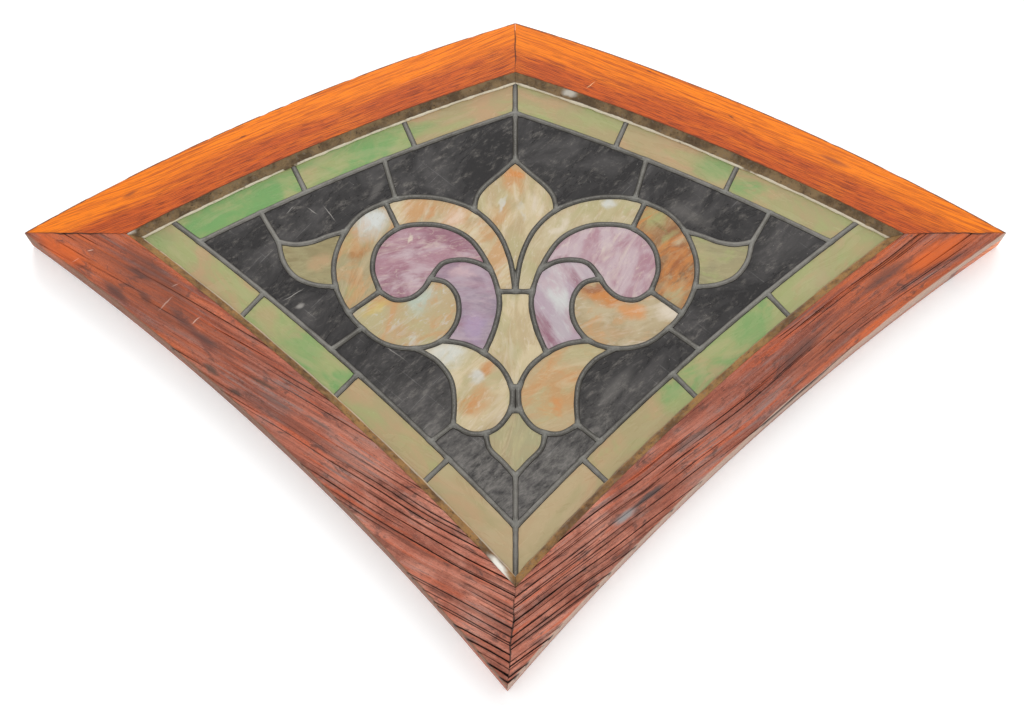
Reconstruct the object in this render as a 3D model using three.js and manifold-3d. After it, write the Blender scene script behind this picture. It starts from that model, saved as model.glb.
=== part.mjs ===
// Stained glass window: a kite of four curved wood members, mitred in front and halved behind, with a
// rebate that holds one leaded panel of opalescent glass under a sloped fillet of putty.
// Everything is drawn in the plane of the window, X to the right and Y up, with depth along Z from the
// back face to the front. The whole group is stood up at the end, so that the front looks along -Y.
// Heights are measured from the short level came at the heart of the ornament.
import * as THREE from 'three';
import { mergeVertices } from 'three/addons/utils/BufferGeometryUtils.js';
import Module from 'manifold-3d';

const wasm = await Module();
wasm.setup();

// Sight line, where the putty ends and the glass begins: its corners and the radii of its edges.
const sightHalfWidth = 403.5;
const sightSideHeight = 62;
const sightTop = 251.5;
const sightBottom = -309;
const upperRadius = 2295;
const lowerRadius = 3004;

// Wood frame.
const frameThickness = 35;
const upperFaceWidth = 60;
const lowerFaceWidth = 64.5;
const rebateWidth = 9;
const rebateDepth = 16;
const bottomTipLean = -8;

// Leaded panel.
const cameFace = 6.35;
const cameHeart = 1.6;
const cameLeaf = 1.2;
const glassThickness = 3;
const beddingThickness = 0.5;
const edgeCameOffset = 4;
const borderWidth = 34.2;

// Putty fillet.
const puttyToe = 0.9;
const puttyShyOfFace = 1;

// Clearance between neighbouring solids.
const gap = 0.3;

// The ornament was drawn for a kite of these sizes and stretches with the window: its points are shares of
// the half width, of the height above the heart and of the depth below it.
const cartoonHalfWidth = 403.5;
const cartoonTop = 251.5;
const cartoonBottom = -309;

// Cuts across the border, as shares of each edge from the side corner.
const upperBorderCuts = [0.338, 0.685];
const lowerBorderCuts = [0.202, 0.499, 0.786];

// Chords along each long edge of the frame, and how far a chord may stand off its curve in the border
// and in the ornament.
const edgeChords = 6;
const edgeTolerance = 0.35;
const curveTolerance = 0.8;

// The distance below which two points are one, the turn in radians below which two edges are one line, the
// distance within which a mesh's vertices merge, and how far a cutting solid reaches past what it cuts.
const samePoint = 0.01;
const straightTurn = 1e-3;
const mergeDistance = 1e-4;
const overcut = 1;

// Depths of the layers, from the back face.
const lipThickness = frameThickness - rebateDepth;
const panelBack = lipThickness + beddingThickness;
const channelBack = panelBack + cameLeaf;
const channelFront = channelBack + glassThickness + 2 * gap;
const panelFront = channelFront + cameLeaf;

// Vectors and solids.

const point = (x, y) => new THREE.Vector2(x, y);
const mirrored = (points) => points.map((p) => point(-p.x, p.y)).reverse();

function solid(geometry) {
  geometry.deleteAttribute('normal');
  geometry.deleteAttribute('uv');
  const merged = mergeVertices(geometry, mergeDistance);
  return new wasm.Manifold(new wasm.Mesh({
    numProp: 3,
    vertProperties: new Float32Array(merged.attributes.position.array),
    triVerts: new Uint32Array(merged.index.array),
  }));
}

// A flat plate of the given outline between two depths.
function plate(points, from, to) {
  const depth = to - from;
  const geometry = new THREE.ExtrudeGeometry(new THREE.Shape(points), { depth, bevelEnabled: false });
  geometry.translate(0, 0, from);
  return solid(geometry);
}

const joined = (solids) => solids.reduce((whole, next) => whole.add(next));

// Long edges: four arcs through the corners left, top, right and bottom, clockwise, so that the outside
// is on the left of each. The upper two swell outwards and the lower two inwards.

const cornerNames = ['left', 'top', 'right', 'bottom'];
const sideNames = ['upper_left', 'upper_right', 'lower_right', 'lower_left'];
const [LEFT, TOP, BOTTOM] = ['left', 'top', 'bottom'].map((name) => cornerNames.indexOf(name));
const [UPPER_LEFT, LOWER_LEFT] = ['upper_left', 'lower_left'].map((name) => sideNames.indexOf(name));
const swell = [1, 1, -1, -1];
const edgeRadius = [upperRadius, upperRadius, lowerRadius, lowerRadius];
const sightCorners = [
  point(-sightHalfWidth, sightSideHeight),
  point(0, sightTop),
  point(sightHalfWidth, sightSideHeight),
  point(0, sightBottom),
];

function circleThrough(a, b, radius, side) {
  const chord = b.clone().sub(a);
  const left = point(-chord.y, chord.x).normalize();
  const rise = Math.sqrt(radius ** 2 - chord.lengthSq() / 4);
  const centre = a.clone().add(b).multiplyScalar(0.5).addScaledVector(left, -side * rise);
  return { centre, radius };
}

// The circle of one edge, moved outwards from the sight line.
function edgeCircle(edge, outwards) {
  const next = (edge + 1) % 4;
  const base = circleThrough(sightCorners[edge], sightCorners[next], edgeRadius[edge], swell[edge]);
  return { centre: base.centre, radius: base.radius + swell[edge] * outwards };
}

// Where two circles cross, on the side of a known point.
function crossing(a, b, near) {
  const line = b.centre.clone().sub(a.centre);
  const distance = line.length();
  const along = (distance ** 2 + a.radius ** 2 - b.radius ** 2) / (2 * distance);
  const across = Math.sqrt(a.radius ** 2 - along ** 2);
  line.normalize();
  const foot = a.centre.clone().addScaledVector(line, along);
  const normal = point(-line.y, line.x);
  const candidates = [across, -across].map((step) => foot.clone().addScaledVector(normal, step));
  return candidates.sort((p, q) => p.distanceTo(near) - q.distanceTo(near))[0];
}

// The point of a circle at a share of the shorter way between two of its points.
function onArc(circle, from, to, share) {
  const a = from.clone().sub(circle.centre);
  const b = to.clone().sub(circle.centre);
  const angle = a.angle() + share * Math.atan2(a.cross(b), a.dot(b));
  return point(Math.cos(angle), Math.sin(angle)).multiplyScalar(circle.radius).add(circle.centre);
}

// How many chords keep within the tolerance of the arc between two points of a circle.
function chordCount(circle, from, to) {
  const longest = Math.sqrt(8 * circle.radius * edgeTolerance);
  return Math.ceil(from.distanceTo(to) / longest);
}

function arc(circle, from, to, count = chordCount(circle, from, to)) {
  return Array.from({ length: count + 1 }, (_, i) => onArc(circle, from, to, i / count));
}

// Corners and edges of the kite that lies a given distance outside the sight line.
function kite(upper, lower, lean = 0) {
  const outwards = [upper, upper, lower, lower];
  const circles = outwards.map((distance, edge) => edgeCircle(edge, distance));
  const corners = circles.map((circle, k) => crossing(circles[(k + 3) % 4], circle, sightCorners[k]));
  corners[BOTTOM].x += lean;
  const edges = circles.map((circle, k) => {
    const next = corners[(k + 1) % 4];
    return arc(circleThrough(corners[k], next, circle.radius, swell[k]), corners[k], next, edgeChords);
  });
  return { circles, corners, edges, outline: edges.flatMap((edge) => edge.slice(0, -1)) };
}

const ringPlate = (outer, inner, from, to) =>
  plate(outer.outline, from, to).subtract(plate(inner.outline, from - overcut, to + overcut));

// A straight bar of the given width between two points.
function bar(a, b, width, from, to) {
  const along = b.clone().sub(a);
  const side = point(-along.y, along.x).setLength(width / 2);
  const corners = [a.clone().add(side), a.clone().sub(side), b.clone().sub(side), b.clone().add(side)];
  return plate(corners, from, to);
}

// Frame members. In front each corner is a mitre. Behind, in the depth of the lip, each member runs on
// through the corner at its far end and the next one butts against it.

const outer = kite(rebateWidth + upperFaceWidth, rebateWidth + lowerFaceWidth, bottomTipLean);
const rebate = kite(rebateWidth, rebateWidth);
const sight = kite(0, 0);

// The point of a mitre line, as steps of its own length from its inner end.
const onMitre = (k, share) => rebate.corners[k].clone().lerp(outer.corners[k], share);
const onPuttyMitre = (k, share) => sight.corners[k].clone().lerp(rebate.corners[k], share);
const pastInside = -1;
const pastOutside = 4;

// The thin cuts that keep the four pieces of a mitred ring apart.
function mitreKerfs(along, from, to) {
  return joined([0, 1, 2, 3].map((k) => bar(along(k, pastInside), along(k, pastOutside), gap, from, to)));
}

function frontWedge(k) {
  const next = (k + 1) % 4;
  return [
    onMitre(k, pastInside),
    onMitre(k, pastOutside),
    onMitre(next, pastOutside),
    onMitre(next, pastInside),
  ];
}

// Everything outside one sight edge and its tangents, grown inwards by a clearance.
function backBand(k, clearance) {
  const line = kite(-clearance, -clearance).edges[k];
  const reach = sightHalfWidth;
  const last = line.length - 1;
  const leading = line[0].clone().sub(line[1]).setLength(reach).add(line[0]);
  const trailing = line[last].clone().sub(line[last - 1]).setLength(reach).add(line[last]);
  const along = trailing.clone().sub(leading);
  const outwards = point(-along.y, along.x).setLength(reach);
  return [leading, ...line, trailing, trailing.clone().add(outwards), leading.clone().add(outwards)];
}

function frameMembers() {
  const frontRing = ringPlate(outer, rebate, lipThickness, frameThickness);
  const backRing = ringPlate(outer, sight, 0, lipThickness);
  const [cutBack, cutFront] = [lipThickness - overcut, frameThickness + overcut];
  const mitred = frontRing.subtract(mitreKerfs(onMitre, cutBack, cutFront));
  return [0, 1, 2, 3].map((k) => {
    const previous = (k + 3) % 4;
    const front = mitred.intersect(plate(frontWedge(k), cutBack, cutFront));
    const back = backRing.intersect(plate(backBand(k, 0), -overcut, lipThickness + overcut));
    const through = plate(backBand(previous, gap), -overcut, lipThickness + gap);
    return front.add(back).subtract(through);
  });
}

// Putty: a sloped fillet along each edge, from its toe at the sight line up the wall of the rebate.

const puttyBottom = panelFront + gap;
const puttySection = [
  { outwards: 0, height: puttyBottom },
  { outwards: 0, height: puttyBottom + puttyToe },
  { outwards: rebateWidth - gap, height: frameThickness - puttyShyOfFace },
  { outwards: rebateWidth - gap, height: puttyBottom },
];

// A section carried along one edge of the kite, each of its corners on an edge line of its own.
function moulding(k, section) {
  const tracks = section.map(({ outwards, height }) => ({ line: kite(outwards, outwards).edges[k], height }));
  const positions = [];
  for (let i = 0; i <= edgeChords; i += 1) {
    tracks.forEach(({ line, height }) => positions.push(line[i].x, line[i].y, height));
  }
  const index = [];
  const quad = (a, b, c, d) => index.push(a, b, c, a, c, d);
  const sides = section.length;
  const end = edgeChords * sides;
  for (let row = 0; row < end; row += sides) {
    for (let j = 0; j < sides; j += 1) {
      const next = (j + 1) % sides;
      quad(row + j, row + sides + j, row + sides + next, row + next);
    }
  }
  quad(0, 1, 2, 3);
  quad(end + 3, end + 2, end + 1, end);
  const geometry = new THREE.BufferGeometry();
  geometry.setAttribute('position', new THREE.Float32BufferAttribute(positions, 3));
  geometry.setIndex(index);
  return solid(geometry);
}

function puttyFillets() {
  const kerfs = mitreKerfs(onPuttyMitre, panelFront, frameThickness + overcut);
  return [0, 1, 2, 3].map((k) => moulding(k, puttySection).subtract(kerfs));
}

// Came lines of the ornament's left half. Each is a smooth curve through named points, in millimetres
// of the cartoon, and each of those names can start or end a stretch of it.

const drawnAcross = (x) => x * sightHalfWidth / cartoonHalfWidth;
const drawnUp = (y) => y * (y > 0 ? sightTop / cartoonTop : sightBottom / cartoonBottom);
const drawn = (x, y) => [drawnAcross(x), drawnUp(y)];

function came(marks) {
  const names = Object.keys(marks);
  const knots = names.map((name) => new THREE.Vector3(marks[name][0], marks[name][1], 0));
  const curve = new THREE.CatmullRomCurve3(knots, false, 'centripetal');
  const spans = knots.length - 1;
  const path = [point(knots[0].x, knots[0].y)];
  const index = { [names[0]]: 0 };
  for (let i = 0; i < spans; i += 1) {
    const turn = curve.getTangent(i / spans).angleTo(curve.getTangent((i + 1) / spans));
    const length = knots[i].distanceTo(knots[i + 1]);
    const count = Math.max(1, Math.ceil(Math.sqrt((length * turn) / (8 * curveTolerance))));
    for (let j = 1; j <= count; j += 1) {
      const p = curve.getPoint((i + j / count) / spans);
      path.push(point(p.x, p.y));
    }
    index[names[i + 1]] = path.length - 1;
  }
  return { path, index };
}

const reached = (line, name) => line.path[line.index[name]].toArray();

// A stretch of a came line between two of its names, in the direction asked for.
function stretch(line, from, to) {
  const [a, b] = [line.index[from], line.index[to]];
  return a < b ? line.path.slice(a, b + 1) : line.path.slice(b, a + 1).reverse();
}

// The big scroll: from the heart up round the top, down the side, along the bottom and in to its curl.
const scroll = came({
  heart: drawn(0, 0),
  stem: drawn(-6, 38),
  shoulder: drawn(-20, 71),
  bud: drawn(-45, 96),
  rise: drawn(-78, 109),
  crown: drawn(-112, 112),
  topField: drawn(-131, 109),
  topCut: drawn(-142, 105),
  turn: drawn(-167, 92),
  leafTop: drawn(-184, 71),
  side: drawn(-195.5, 36),
  leafFoot: drawn(-192.5, 5),
  lowCut: drawn(-178, -25),
  lowField: drawn(-163, -42),
  belly: drawn(-138, -60),
  lobeSide: drawn(-106, -65),
  lobe: drawn(-78, -56),
  curlSide: drawn(-62, -33),
  curlTop: drawn(-62, -7),
  curlIn: drawn(-74, 10),
  curlEnd: drawn(-91.5, 15),
});

// The inner line of the scroll, round the purple glass and down to the lobe.
const inner = came({
  start: drawn(-145.5, 0),
  side: drawn(-154, 26),
  rise: drawn(-149, 53),
  topCut: drawn(-127.5, 74),
  crown: drawn(-100, 79),
  fall: drawn(-73, 75),
  shoulder: drawn(-48, 60),
  wave: drawn(-26.5, 25),
  level: drawn(-18.5, 0),
  waist: drawn(-17, -16),
  hip: drawn(-22, -42),
  lobe: drawn(-33, -70.5),
});

// The wave between the purple comma above and the amber drop below.
const wave = came({
  start: reached(inner, 'start'),
  dip: drawn(-129, -9.5),
  low: drawn(-111, -7),
  climb: drawn(-98, 4),
  curl: reached(scroll, 'curlEnd'),
  crest: drawn(-78, 33),
  top: drawn(-59, 37),
  fall: drawn(-42, 34),
  end: reached(inner, 'wave'),
});

const leafUpper = came({
  tip: drawn(-257, 58),
  dip: drawn(-238, 55),
  hollow: drawn(-220, 58),
  rise: drawn(-203, 65),
  end: reached(scroll, 'leafTop'),
});

const leafLower = came({
  tip: reached(leafUpper, 'tip'),
  cheek: drawn(-250, 34),
  belly: drawn(-237, 17),
  sole: drawn(-217, 8),
  end: reached(scroll, 'leafFoot'),
});

const budSide = came({
  tip: drawn(0, 157),
  brow: drawn(-16, 141),
  cheek: drawn(-34, 124),
  jaw: drawn(-42, 112),
  end: reached(scroll, 'bud'),
});

// The lobe below the scroll, over its top, past the other lobe and round its foot to a corner.
const lobe = came({
  start: reached(scroll, 'lobe'),
  back: drawn(-54, -60),
  scrollFoot: reached(inner, 'lobe'),
  slope: drawn(-14.5, -87),
  near: drawn(-4.2, -108),
  beside: drawn(-3.2, -120),
  away: drawn(-5.5, -134),
  heel: drawn(-18, -152),
  lowBud: drawn(-31, -158.5),
  sole: drawn(-47, -159),
  corner: drawn(-65, -149.5),
});

const lobeSide = came({
  corner: reached(lobe, 'corner'),
  hollow: drawn(-64, -124),
  cheek: drawn(-68, -100),
  shoulder: drawn(-83, -79),
  end: reached(scroll, 'lobeSide'),
});

const lowBudSide = came({
  start: reached(lobe, 'lowBud'),
  cheek: drawn(-27, -175),
  jaw: drawn(-13, -190),
  tip: drawn(0, -205),
});

// Border: an edge came under the putty, an inner line one strip away, and cuts square across the strip.

const edgeLine = kite(edgeCameOffset, edgeCameOffset);
const innerLine = kite(-borderWidth, -borderWidth);

// A straight cut across the border at a share of one edge, counted from the side corner.
function borderCut(edge, share) {
  const { circles, corners } = innerLine;
  const far = edge === UPPER_LEFT ? corners[TOP] : corners[BOTTOM];
  const foot = onArc(circles[edge], corners[LEFT], far, share);
  const centre = circles[edge].centre;
  const head = foot.clone().sub(centre).setLength(edgeLine.circles[edge].radius).add(centre);
  return { foot, head, path: [head, foot] };
}

// The border's inner line at the place that is straight above or below a given x.
function onInnerLine(edge, x) {
  const { centre, radius } = innerLine.circles[edge];
  const rise = Math.sqrt(radius ** 2 - (x - centre.x) ** 2);
  return point(x, centre.y + rise * Math.sign(innerLine.corners[LEFT].y - centre.y));
}

const upperCuts = upperBorderCuts.map((share) => borderCut(UPPER_LEFT, share));
const lowerCuts = lowerBorderCuts.map((share) => borderCut(LOWER_LEFT, share));
const sideCorner = innerLine.corners[LEFT];
const sideHead = crossing(innerLine.circles[LOWER_LEFT], edgeLine.circles[UPPER_LEFT], sideCorner);
const sidePath = arc(innerLine.circles[LOWER_LEFT], sideCorner, sideHead);

// Cuts across the black field, from the ornament out to the border, and how far across the cartoon each
// of them ends.
const fieldCutEnds = { top: -145, tip: -278, low: -195, foot: -87.5 };
const fieldCut = (edge, from, x) => [point(...from), onInnerLine(edge, drawnAcross(x))];
const topFieldCut = fieldCut(UPPER_LEFT, reached(scroll, 'topField'), fieldCutEnds.top);
const tipCut = fieldCut(UPPER_LEFT, reached(leafUpper, 'tip'), fieldCutEnds.tip);
const lowFieldCut = fieldCut(LOWER_LEFT, reached(scroll, 'lowField'), fieldCutEnds.low);
const footCut = fieldCut(LOWER_LEFT, reached(lobe, 'corner'), fieldCutEnds.foot);

const scrollTopCut = [point(...reached(scroll, 'topCut')), point(...reached(inner, 'topCut'))];
const scrollLowCut = [point(...reached(scroll, 'lowCut')), point(...reached(inner, 'start'))];
const level = [point(...reached(inner, 'level')), point(...reached(scroll, 'heart'))];

// Glasses: each outline is a chain of stretches of the lines round it.

// Runs of points end to end, without the point that two neighbours share.
const chain = (...runs) => runs.flat().filter((p, i, all) => p.distanceTo(all.at(i - 1)) > samePoint);
const edgeRun = (edge, from, to) => arc(edgeLine.circles[edge], from, to);
const lineRun = (edge, from, to) => arc(innerLine.circles[edge], from, to);

function borderOutlines() {
  const side = { head: sideHead, foot: sideCorner };
  const top = { head: edgeLine.corners[TOP], foot: innerLine.corners[TOP] };
  const bottom = { head: edgeLine.corners[BOTTOM], foot: innerLine.corners[BOTTOM] };
  const outlines = {};
  // One glass between each cut and the next, numbered from the side corner.
  const strip = (name, edge, cuts, first) => cuts.slice(1).forEach((b, i) => {
    const a = cuts[i];
    const outline = chain(edgeRun(edge, a.head, b.head), lineRun(edge, b.foot, a.foot));
    outlines[`border_${name}_${first + i}`] = outline;
  });
  strip('upper', UPPER_LEFT, [side, ...upperCuts, top], 1);
  outlines.border_lower_1 = chain(
    edgeRun(LOWER_LEFT, lowerCuts[0].head, edgeLine.corners[LEFT]),
    edgeRun(UPPER_LEFT, edgeLine.corners[LEFT], sideHead),
    [...sidePath].reverse(),
    lineRun(LOWER_LEFT, sideCorner, lowerCuts[0].foot),
  );
  strip('lower', LOWER_LEFT, [...lowerCuts, bottom], 2);
  return outlines;
}

function fieldOutlines() {
  const [topEnd, tipEnd, lowEnd, footEnd] = [topFieldCut, tipCut, lowFieldCut, footCut].map((cut) => cut[1]);
  return {
    field_top: chain(
      [innerLine.corners[TOP]],
      stretch(budSide, 'tip', 'end'),
      stretch(scroll, 'bud', 'topField'),
      topFieldCut,
      lineRun(UPPER_LEFT, topEnd, innerLine.corners[TOP]),
    ),
    field_shoulder: chain(
      [...topFieldCut].reverse(),
      stretch(scroll, 'topField', 'leafTop'),
      stretch(leafUpper, 'end', 'tip'),
      tipCut,
      lineRun(UPPER_LEFT, tipEnd, topEnd),
    ),
    field_side: chain(
      [...tipCut].reverse(),
      stretch(leafLower, 'tip', 'end'),
      stretch(scroll, 'leafFoot', 'lowField'),
      lowFieldCut,
      lineRun(LOWER_LEFT, lowEnd, sideCorner),
      lineRun(UPPER_LEFT, sideCorner, tipEnd),
    ),
    field_lower: chain(
      [...lowFieldCut].reverse(),
      stretch(scroll, 'lowField', 'lobeSide'),
      stretch(lobeSide, 'end', 'corner'),
      footCut,
      lineRun(LOWER_LEFT, footEnd, lowEnd),
    ),
    field_bottom: chain(
      [...footCut].reverse(),
      stretch(lobe, 'corner', 'lowBud'),
      stretch(lowBudSide, 'start', 'tip'),
      lineRun(LOWER_LEFT, innerLine.corners[BOTTOM], footEnd),
    ),
  };
}

function scrollOutlines() {
  return {
    scroll_top: chain(
      stretch(scroll, 'heart', 'topCut'),
      scrollTopCut,
      stretch(inner, 'topCut', 'level'),
      level,
    ),
    scroll_side: chain(stretch(scroll, 'topCut', 'lowCut'), scrollLowCut, stretch(inner, 'start', 'topCut')),
    purple_comma: chain(stretch(inner, 'start', 'wave'), stretch(wave, 'end', 'start')),
    purple_crescent: chain(
      stretch(wave, 'curl', 'end'),
      stretch(inner, 'wave', 'lobe'),
      stretch(lobe, 'scrollFoot', 'start'),
      stretch(scroll, 'lobe', 'curlEnd'),
    ),
    amber_drop: chain(
      stretch(wave, 'start', 'curl'),
      stretch(scroll, 'curlEnd', 'lowCut'),
      scrollLowCut,
    ),
    leaf: chain(
      stretch(leafUpper, 'tip', 'end'),
      stretch(scroll, 'leafTop', 'leafFoot'),
      stretch(leafLower, 'end', 'tip'),
    ),
    lobe: chain(
      stretch(lobe, 'start', 'corner'),
      stretch(lobeSide, 'corner', 'end'),
      stretch(scroll, 'lobeSide', 'lobe'),
    ),
  };
}

function middleOutlines() {
  const bud = chain(stretch(scroll, 'heart', 'bud'), stretch(budSide, 'end', 'tip'));
  const stem = chain(stretch(lobe, 'near', 'scrollFoot'), stretch(inner, 'lobe', 'level'));
  const lowBud = chain(stretch(lowBudSide, 'tip', 'start'), stretch(lobe, 'lowBud', 'away'));
  const whole = (half) => chain(half, mirrored(half));
  return { bud: whole(bud), stem: whole(stem), low_bud: whole(lowBud) };
}

// All the panel's glasses by name, as outlines along the middle of the cames round them.
function glassOutlines() {
  const halves = { ...borderOutlines(), ...fieldOutlines(), ...scrollOutlines() };
  const sided = Object.entries(halves).flatMap(([name, outline]) => [
    [`glass_${name}_left`, outline],
    [`glass_${name}_right`, mirrored(outline)],
  ]);
  const middle = Object.entries(middleOutlines()).map(([name, outline]) => [`glass_${name}`, outline]);
  return [...sided, ...middle];
}

// An outline moved inwards: each of its edges is shifted, and an edge that turns round is left out.
function inset(outline, distance) {
  const ring = THREE.ShapeUtils.area(outline) > 0 ? outline : [...outline].reverse();
  const edges = ring.map((start, i) => {
    const along = ring[(i + 1) % ring.length].clone().sub(start).normalize();
    return { along, start: start.clone().addScaledVector(point(-along.y, along.x), distance) };
  });
  for (;;) {
    const corners = edges.map((edge, i) => edgeMeeting(edges.at(i - 1), edge));
    const ends = [...corners.slice(1), corners[0]];
    const lengths = edges.map((edge, i) => ends[i].clone().sub(corners[i]).dot(edge.along));
    const shortest = Math.min(...lengths);
    if (shortest > 0) return corners;
    edges.splice(lengths.indexOf(shortest), 1);
  }
}

// Where two neighbouring edges cross, or the second one's start where they are in line.
function edgeMeeting(a, b) {
  const turn = a.along.cross(b.along);
  if (Math.abs(turn) < straightTurn) return b.start.clone();
  return a.start.clone().addScaledVector(a.along, b.start.clone().sub(a.start).cross(b.along) / turn);
}

// The soldered network of lead: a sheet with an opening for each glass, and a channel behind the leaves
// of the opening for the glass's edge. The edge came is closed on its outer side.
function leadCames(outlines) {
  const edge = edgeCameOffset + cameFace / 2;
  let lead = plate(kite(edge, edge).outline, panelBack, panelFront);
  outlines.forEach(([, outline]) => {
    lead = lead
      .subtract(plate(inset(outline, cameFace / 2), panelBack - overcut, panelFront + overcut))
      .subtract(plate(inset(outline, cameHeart / 2), channelBack, channelFront));
  });
  return lead;
}

// Every glass is a plate that fills its channel but for the clearance.
const glass = (outline) => plate(inset(outline, cameHeart / 2 + gap), channelBack + gap, channelFront - gap);

// Finishes.

const finishes = {
  varnished_wood: { color: 0xb5571f, roughness: 0.38, metalness: 0 },
  weathered_wood: { color: 0x8a4a36, roughness: 0.7, metalness: 0 },
  putty: { color: 0x7d6a4f, roughness: 0.9, metalness: 0 },
  lead: { color: 0x62605b, roughness: 0.55, metalness: 0.7 },
  border_glass: { color: 0xa6a874, roughness: 0.3, metalness: 0 },
  black_glass: { color: 0x2c2a29, roughness: 0.25, metalness: 0 },
  purple_glass: { color: 0x9c7488, roughness: 0.3, metalness: 0 },
  amber_glass: { color: 0xb98a55, roughness: 0.3, metalness: 0 },
  cream_glass: { color: 0xc2ad85, roughness: 0.3, metalness: 0 },
};

function glassFinish(name) {
  if (name.includes('border')) return 'border_glass';
  if (name.includes('field')) return 'black_glass';
  if (name.includes('purple')) return 'purple_glass';
  if (name.includes('amber') || name.includes('side')) return 'amber_glass';
  return 'cream_glass';
}

function mesh(name, shape, finish) {
  const { vertProperties, triVerts } = shape.getMesh();
  const geometry = new THREE.BufferGeometry();
  geometry.setAttribute('position', new THREE.BufferAttribute(vertProperties, 3));
  geometry.setIndex(new THREE.BufferAttribute(triVerts, 1));
  geometry.computeVertexNormals();
  const material = new THREE.MeshStandardMaterial({ ...finishes[finish], flatShading: true });
  const made = new THREE.Mesh(geometry, material);
  made.name = name;
  return made;
}

// The window, stood up, with its origin on the back of the frame at the middle of the top corner.

const windowGroup = new THREE.Group();
frameMembers().forEach((shape, k) => {
  const finish = sideNames[k].startsWith('upper') ? 'varnished_wood' : 'weathered_wood';
  windowGroup.add(mesh(`frame_${sideNames[k]}`, shape, finish));
});
puttyFillets().forEach((shape, k) => windowGroup.add(mesh(`putty_${sideNames[k]}`, shape, 'putty')));
const outlines = glassOutlines();
windowGroup.add(mesh('lead_cames', leadCames(outlines), 'lead'));
outlines.forEach(([name, outline]) => windowGroup.add(mesh(name, glass(outline), glassFinish(name))));

const mountHeight = (sight.corners[TOP].y + outer.corners[TOP].y) / 2;
windowGroup.rotation.x = Math.PI / 2;
windowGroup.position.z = -mountHeight;
windowGroup.updateMatrixWorld(true);

export default windowGroup;
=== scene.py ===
# %% [markdown]
# # A stained glass window
# The window is a kite of four curved wood members round one leaded panel. The solids of the frame, the
# putty, the lead and each glass are already made, in metres, with the front facing -Y and the origin at the
# back of the top corner. This lesson gives them the surfaces that the real ones have. The first step loads
# them.

# %% Load the frame
import math

import bmesh
import bpy
import numpy as np
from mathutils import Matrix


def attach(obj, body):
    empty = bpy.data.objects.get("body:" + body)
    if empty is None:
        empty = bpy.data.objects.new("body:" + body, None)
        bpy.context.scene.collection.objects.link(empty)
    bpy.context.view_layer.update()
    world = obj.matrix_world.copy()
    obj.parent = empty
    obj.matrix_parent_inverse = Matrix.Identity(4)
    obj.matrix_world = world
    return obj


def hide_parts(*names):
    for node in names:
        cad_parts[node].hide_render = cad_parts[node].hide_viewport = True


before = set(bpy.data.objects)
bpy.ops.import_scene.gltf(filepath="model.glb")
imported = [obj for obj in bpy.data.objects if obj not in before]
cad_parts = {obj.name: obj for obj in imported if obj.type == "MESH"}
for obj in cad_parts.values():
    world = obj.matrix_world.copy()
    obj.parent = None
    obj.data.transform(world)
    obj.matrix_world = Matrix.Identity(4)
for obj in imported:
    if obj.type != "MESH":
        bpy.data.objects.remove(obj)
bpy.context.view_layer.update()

# %% [markdown]
# ## Camera
# The photograph looks up at the window by about 20 degrees, so its foot is nearer than its head. The camera
# is set by the point of the front face in the middle of the picture and its distance from there.

# %% Camera
FOCAL_LENGTH = 56.25
SENSOR_WIDTH = 36
LOOK_UP = math.radians(19.9)
CAMERA_DISTANCE = 1.68
AIM = (-0.0036, -0.035, -0.3621)

camera_data = bpy.data.cameras.new("camera")
camera_data.lens = FOCAL_LENGTH
camera_data.sensor_width = SENSOR_WIDTH
camera = bpy.data.objects.new("camera", camera_data)
camera.location = (
    AIM[0],
    AIM[1] - CAMERA_DISTANCE * math.cos(LOOK_UP),
    AIM[2] - CAMERA_DISTANCE * math.sin(LOOK_UP),
)
camera.rotation_euler = (math.pi / 2 + LOOK_UP, 0, 0)
bpy.context.collection.objects.link(camera)
bpy.context.scene.camera = camera
print("camera at", tuple(camera.location))

# %% [markdown]
# ## The kite and its arcs
# The window is drawn flat, in millimetres, and a point of the drawing is one complex number: x + y j. A
# quarter turn is then a product with 1j, and a turn by any angle a product with exp(1j angle). The sight
# line, where the putty ends, has four corners joined by arcs. The upper two swell outwards, the lower two
# inwards.

# %% Arcs of the sight line
LEFT, TOP, RIGHT, BOTTOM = range(4)
SIGHT = np.array([-403.5 + 62j, 251.5j, 403.5 + 62j, -309j])
SWELL = np.array([1, 1, -1, -1])
RADIUS = np.array([2295, 2295, 3004, 3004])
SIDE_NAMES = ["upper_left", "upper_right", "lower_right", "lower_left"]


def centre_of(a, b, radius, swell):
    """Centre of the circle through two points: from the middle of the chord, square to it by the rise."""
    chord = b - a
    rise = np.sqrt(radius**2 - np.abs(chord) ** 2 / 4)
    return (a + b) / 2 - swell * rise * 1j * chord / np.abs(chord)


def arc(a, b, radius, swell, share):
    """Points at shares of an arc: the arm from the centre to its start, turned by a share of the angle."""
    centre = centre_of(a, b, radius, swell)
    return centre + (a - centre) * np.exp(1j * share * np.angle((b - centre) / (a - centre)))


middle = arc(SIGHT[LEFT], SIGHT[TOP], RADIUS[LEFT], SWELL[LEFT], 0.5)
print("middle of the upper left arc:", np.round(middle, 1))

# %% [markdown]
# Every long line of the window lies at an even distance from the sight line: the rebate, the outer edge,
# the edge came and the border. So one function makes them all. It changes the radii and finds the corners
# again, where neighbouring circles cross.


# %% Kites inside one another
CENTRE = centre_of(SIGHT, np.roll(SIGHT, -1), RADIUS, SWELL)


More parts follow.
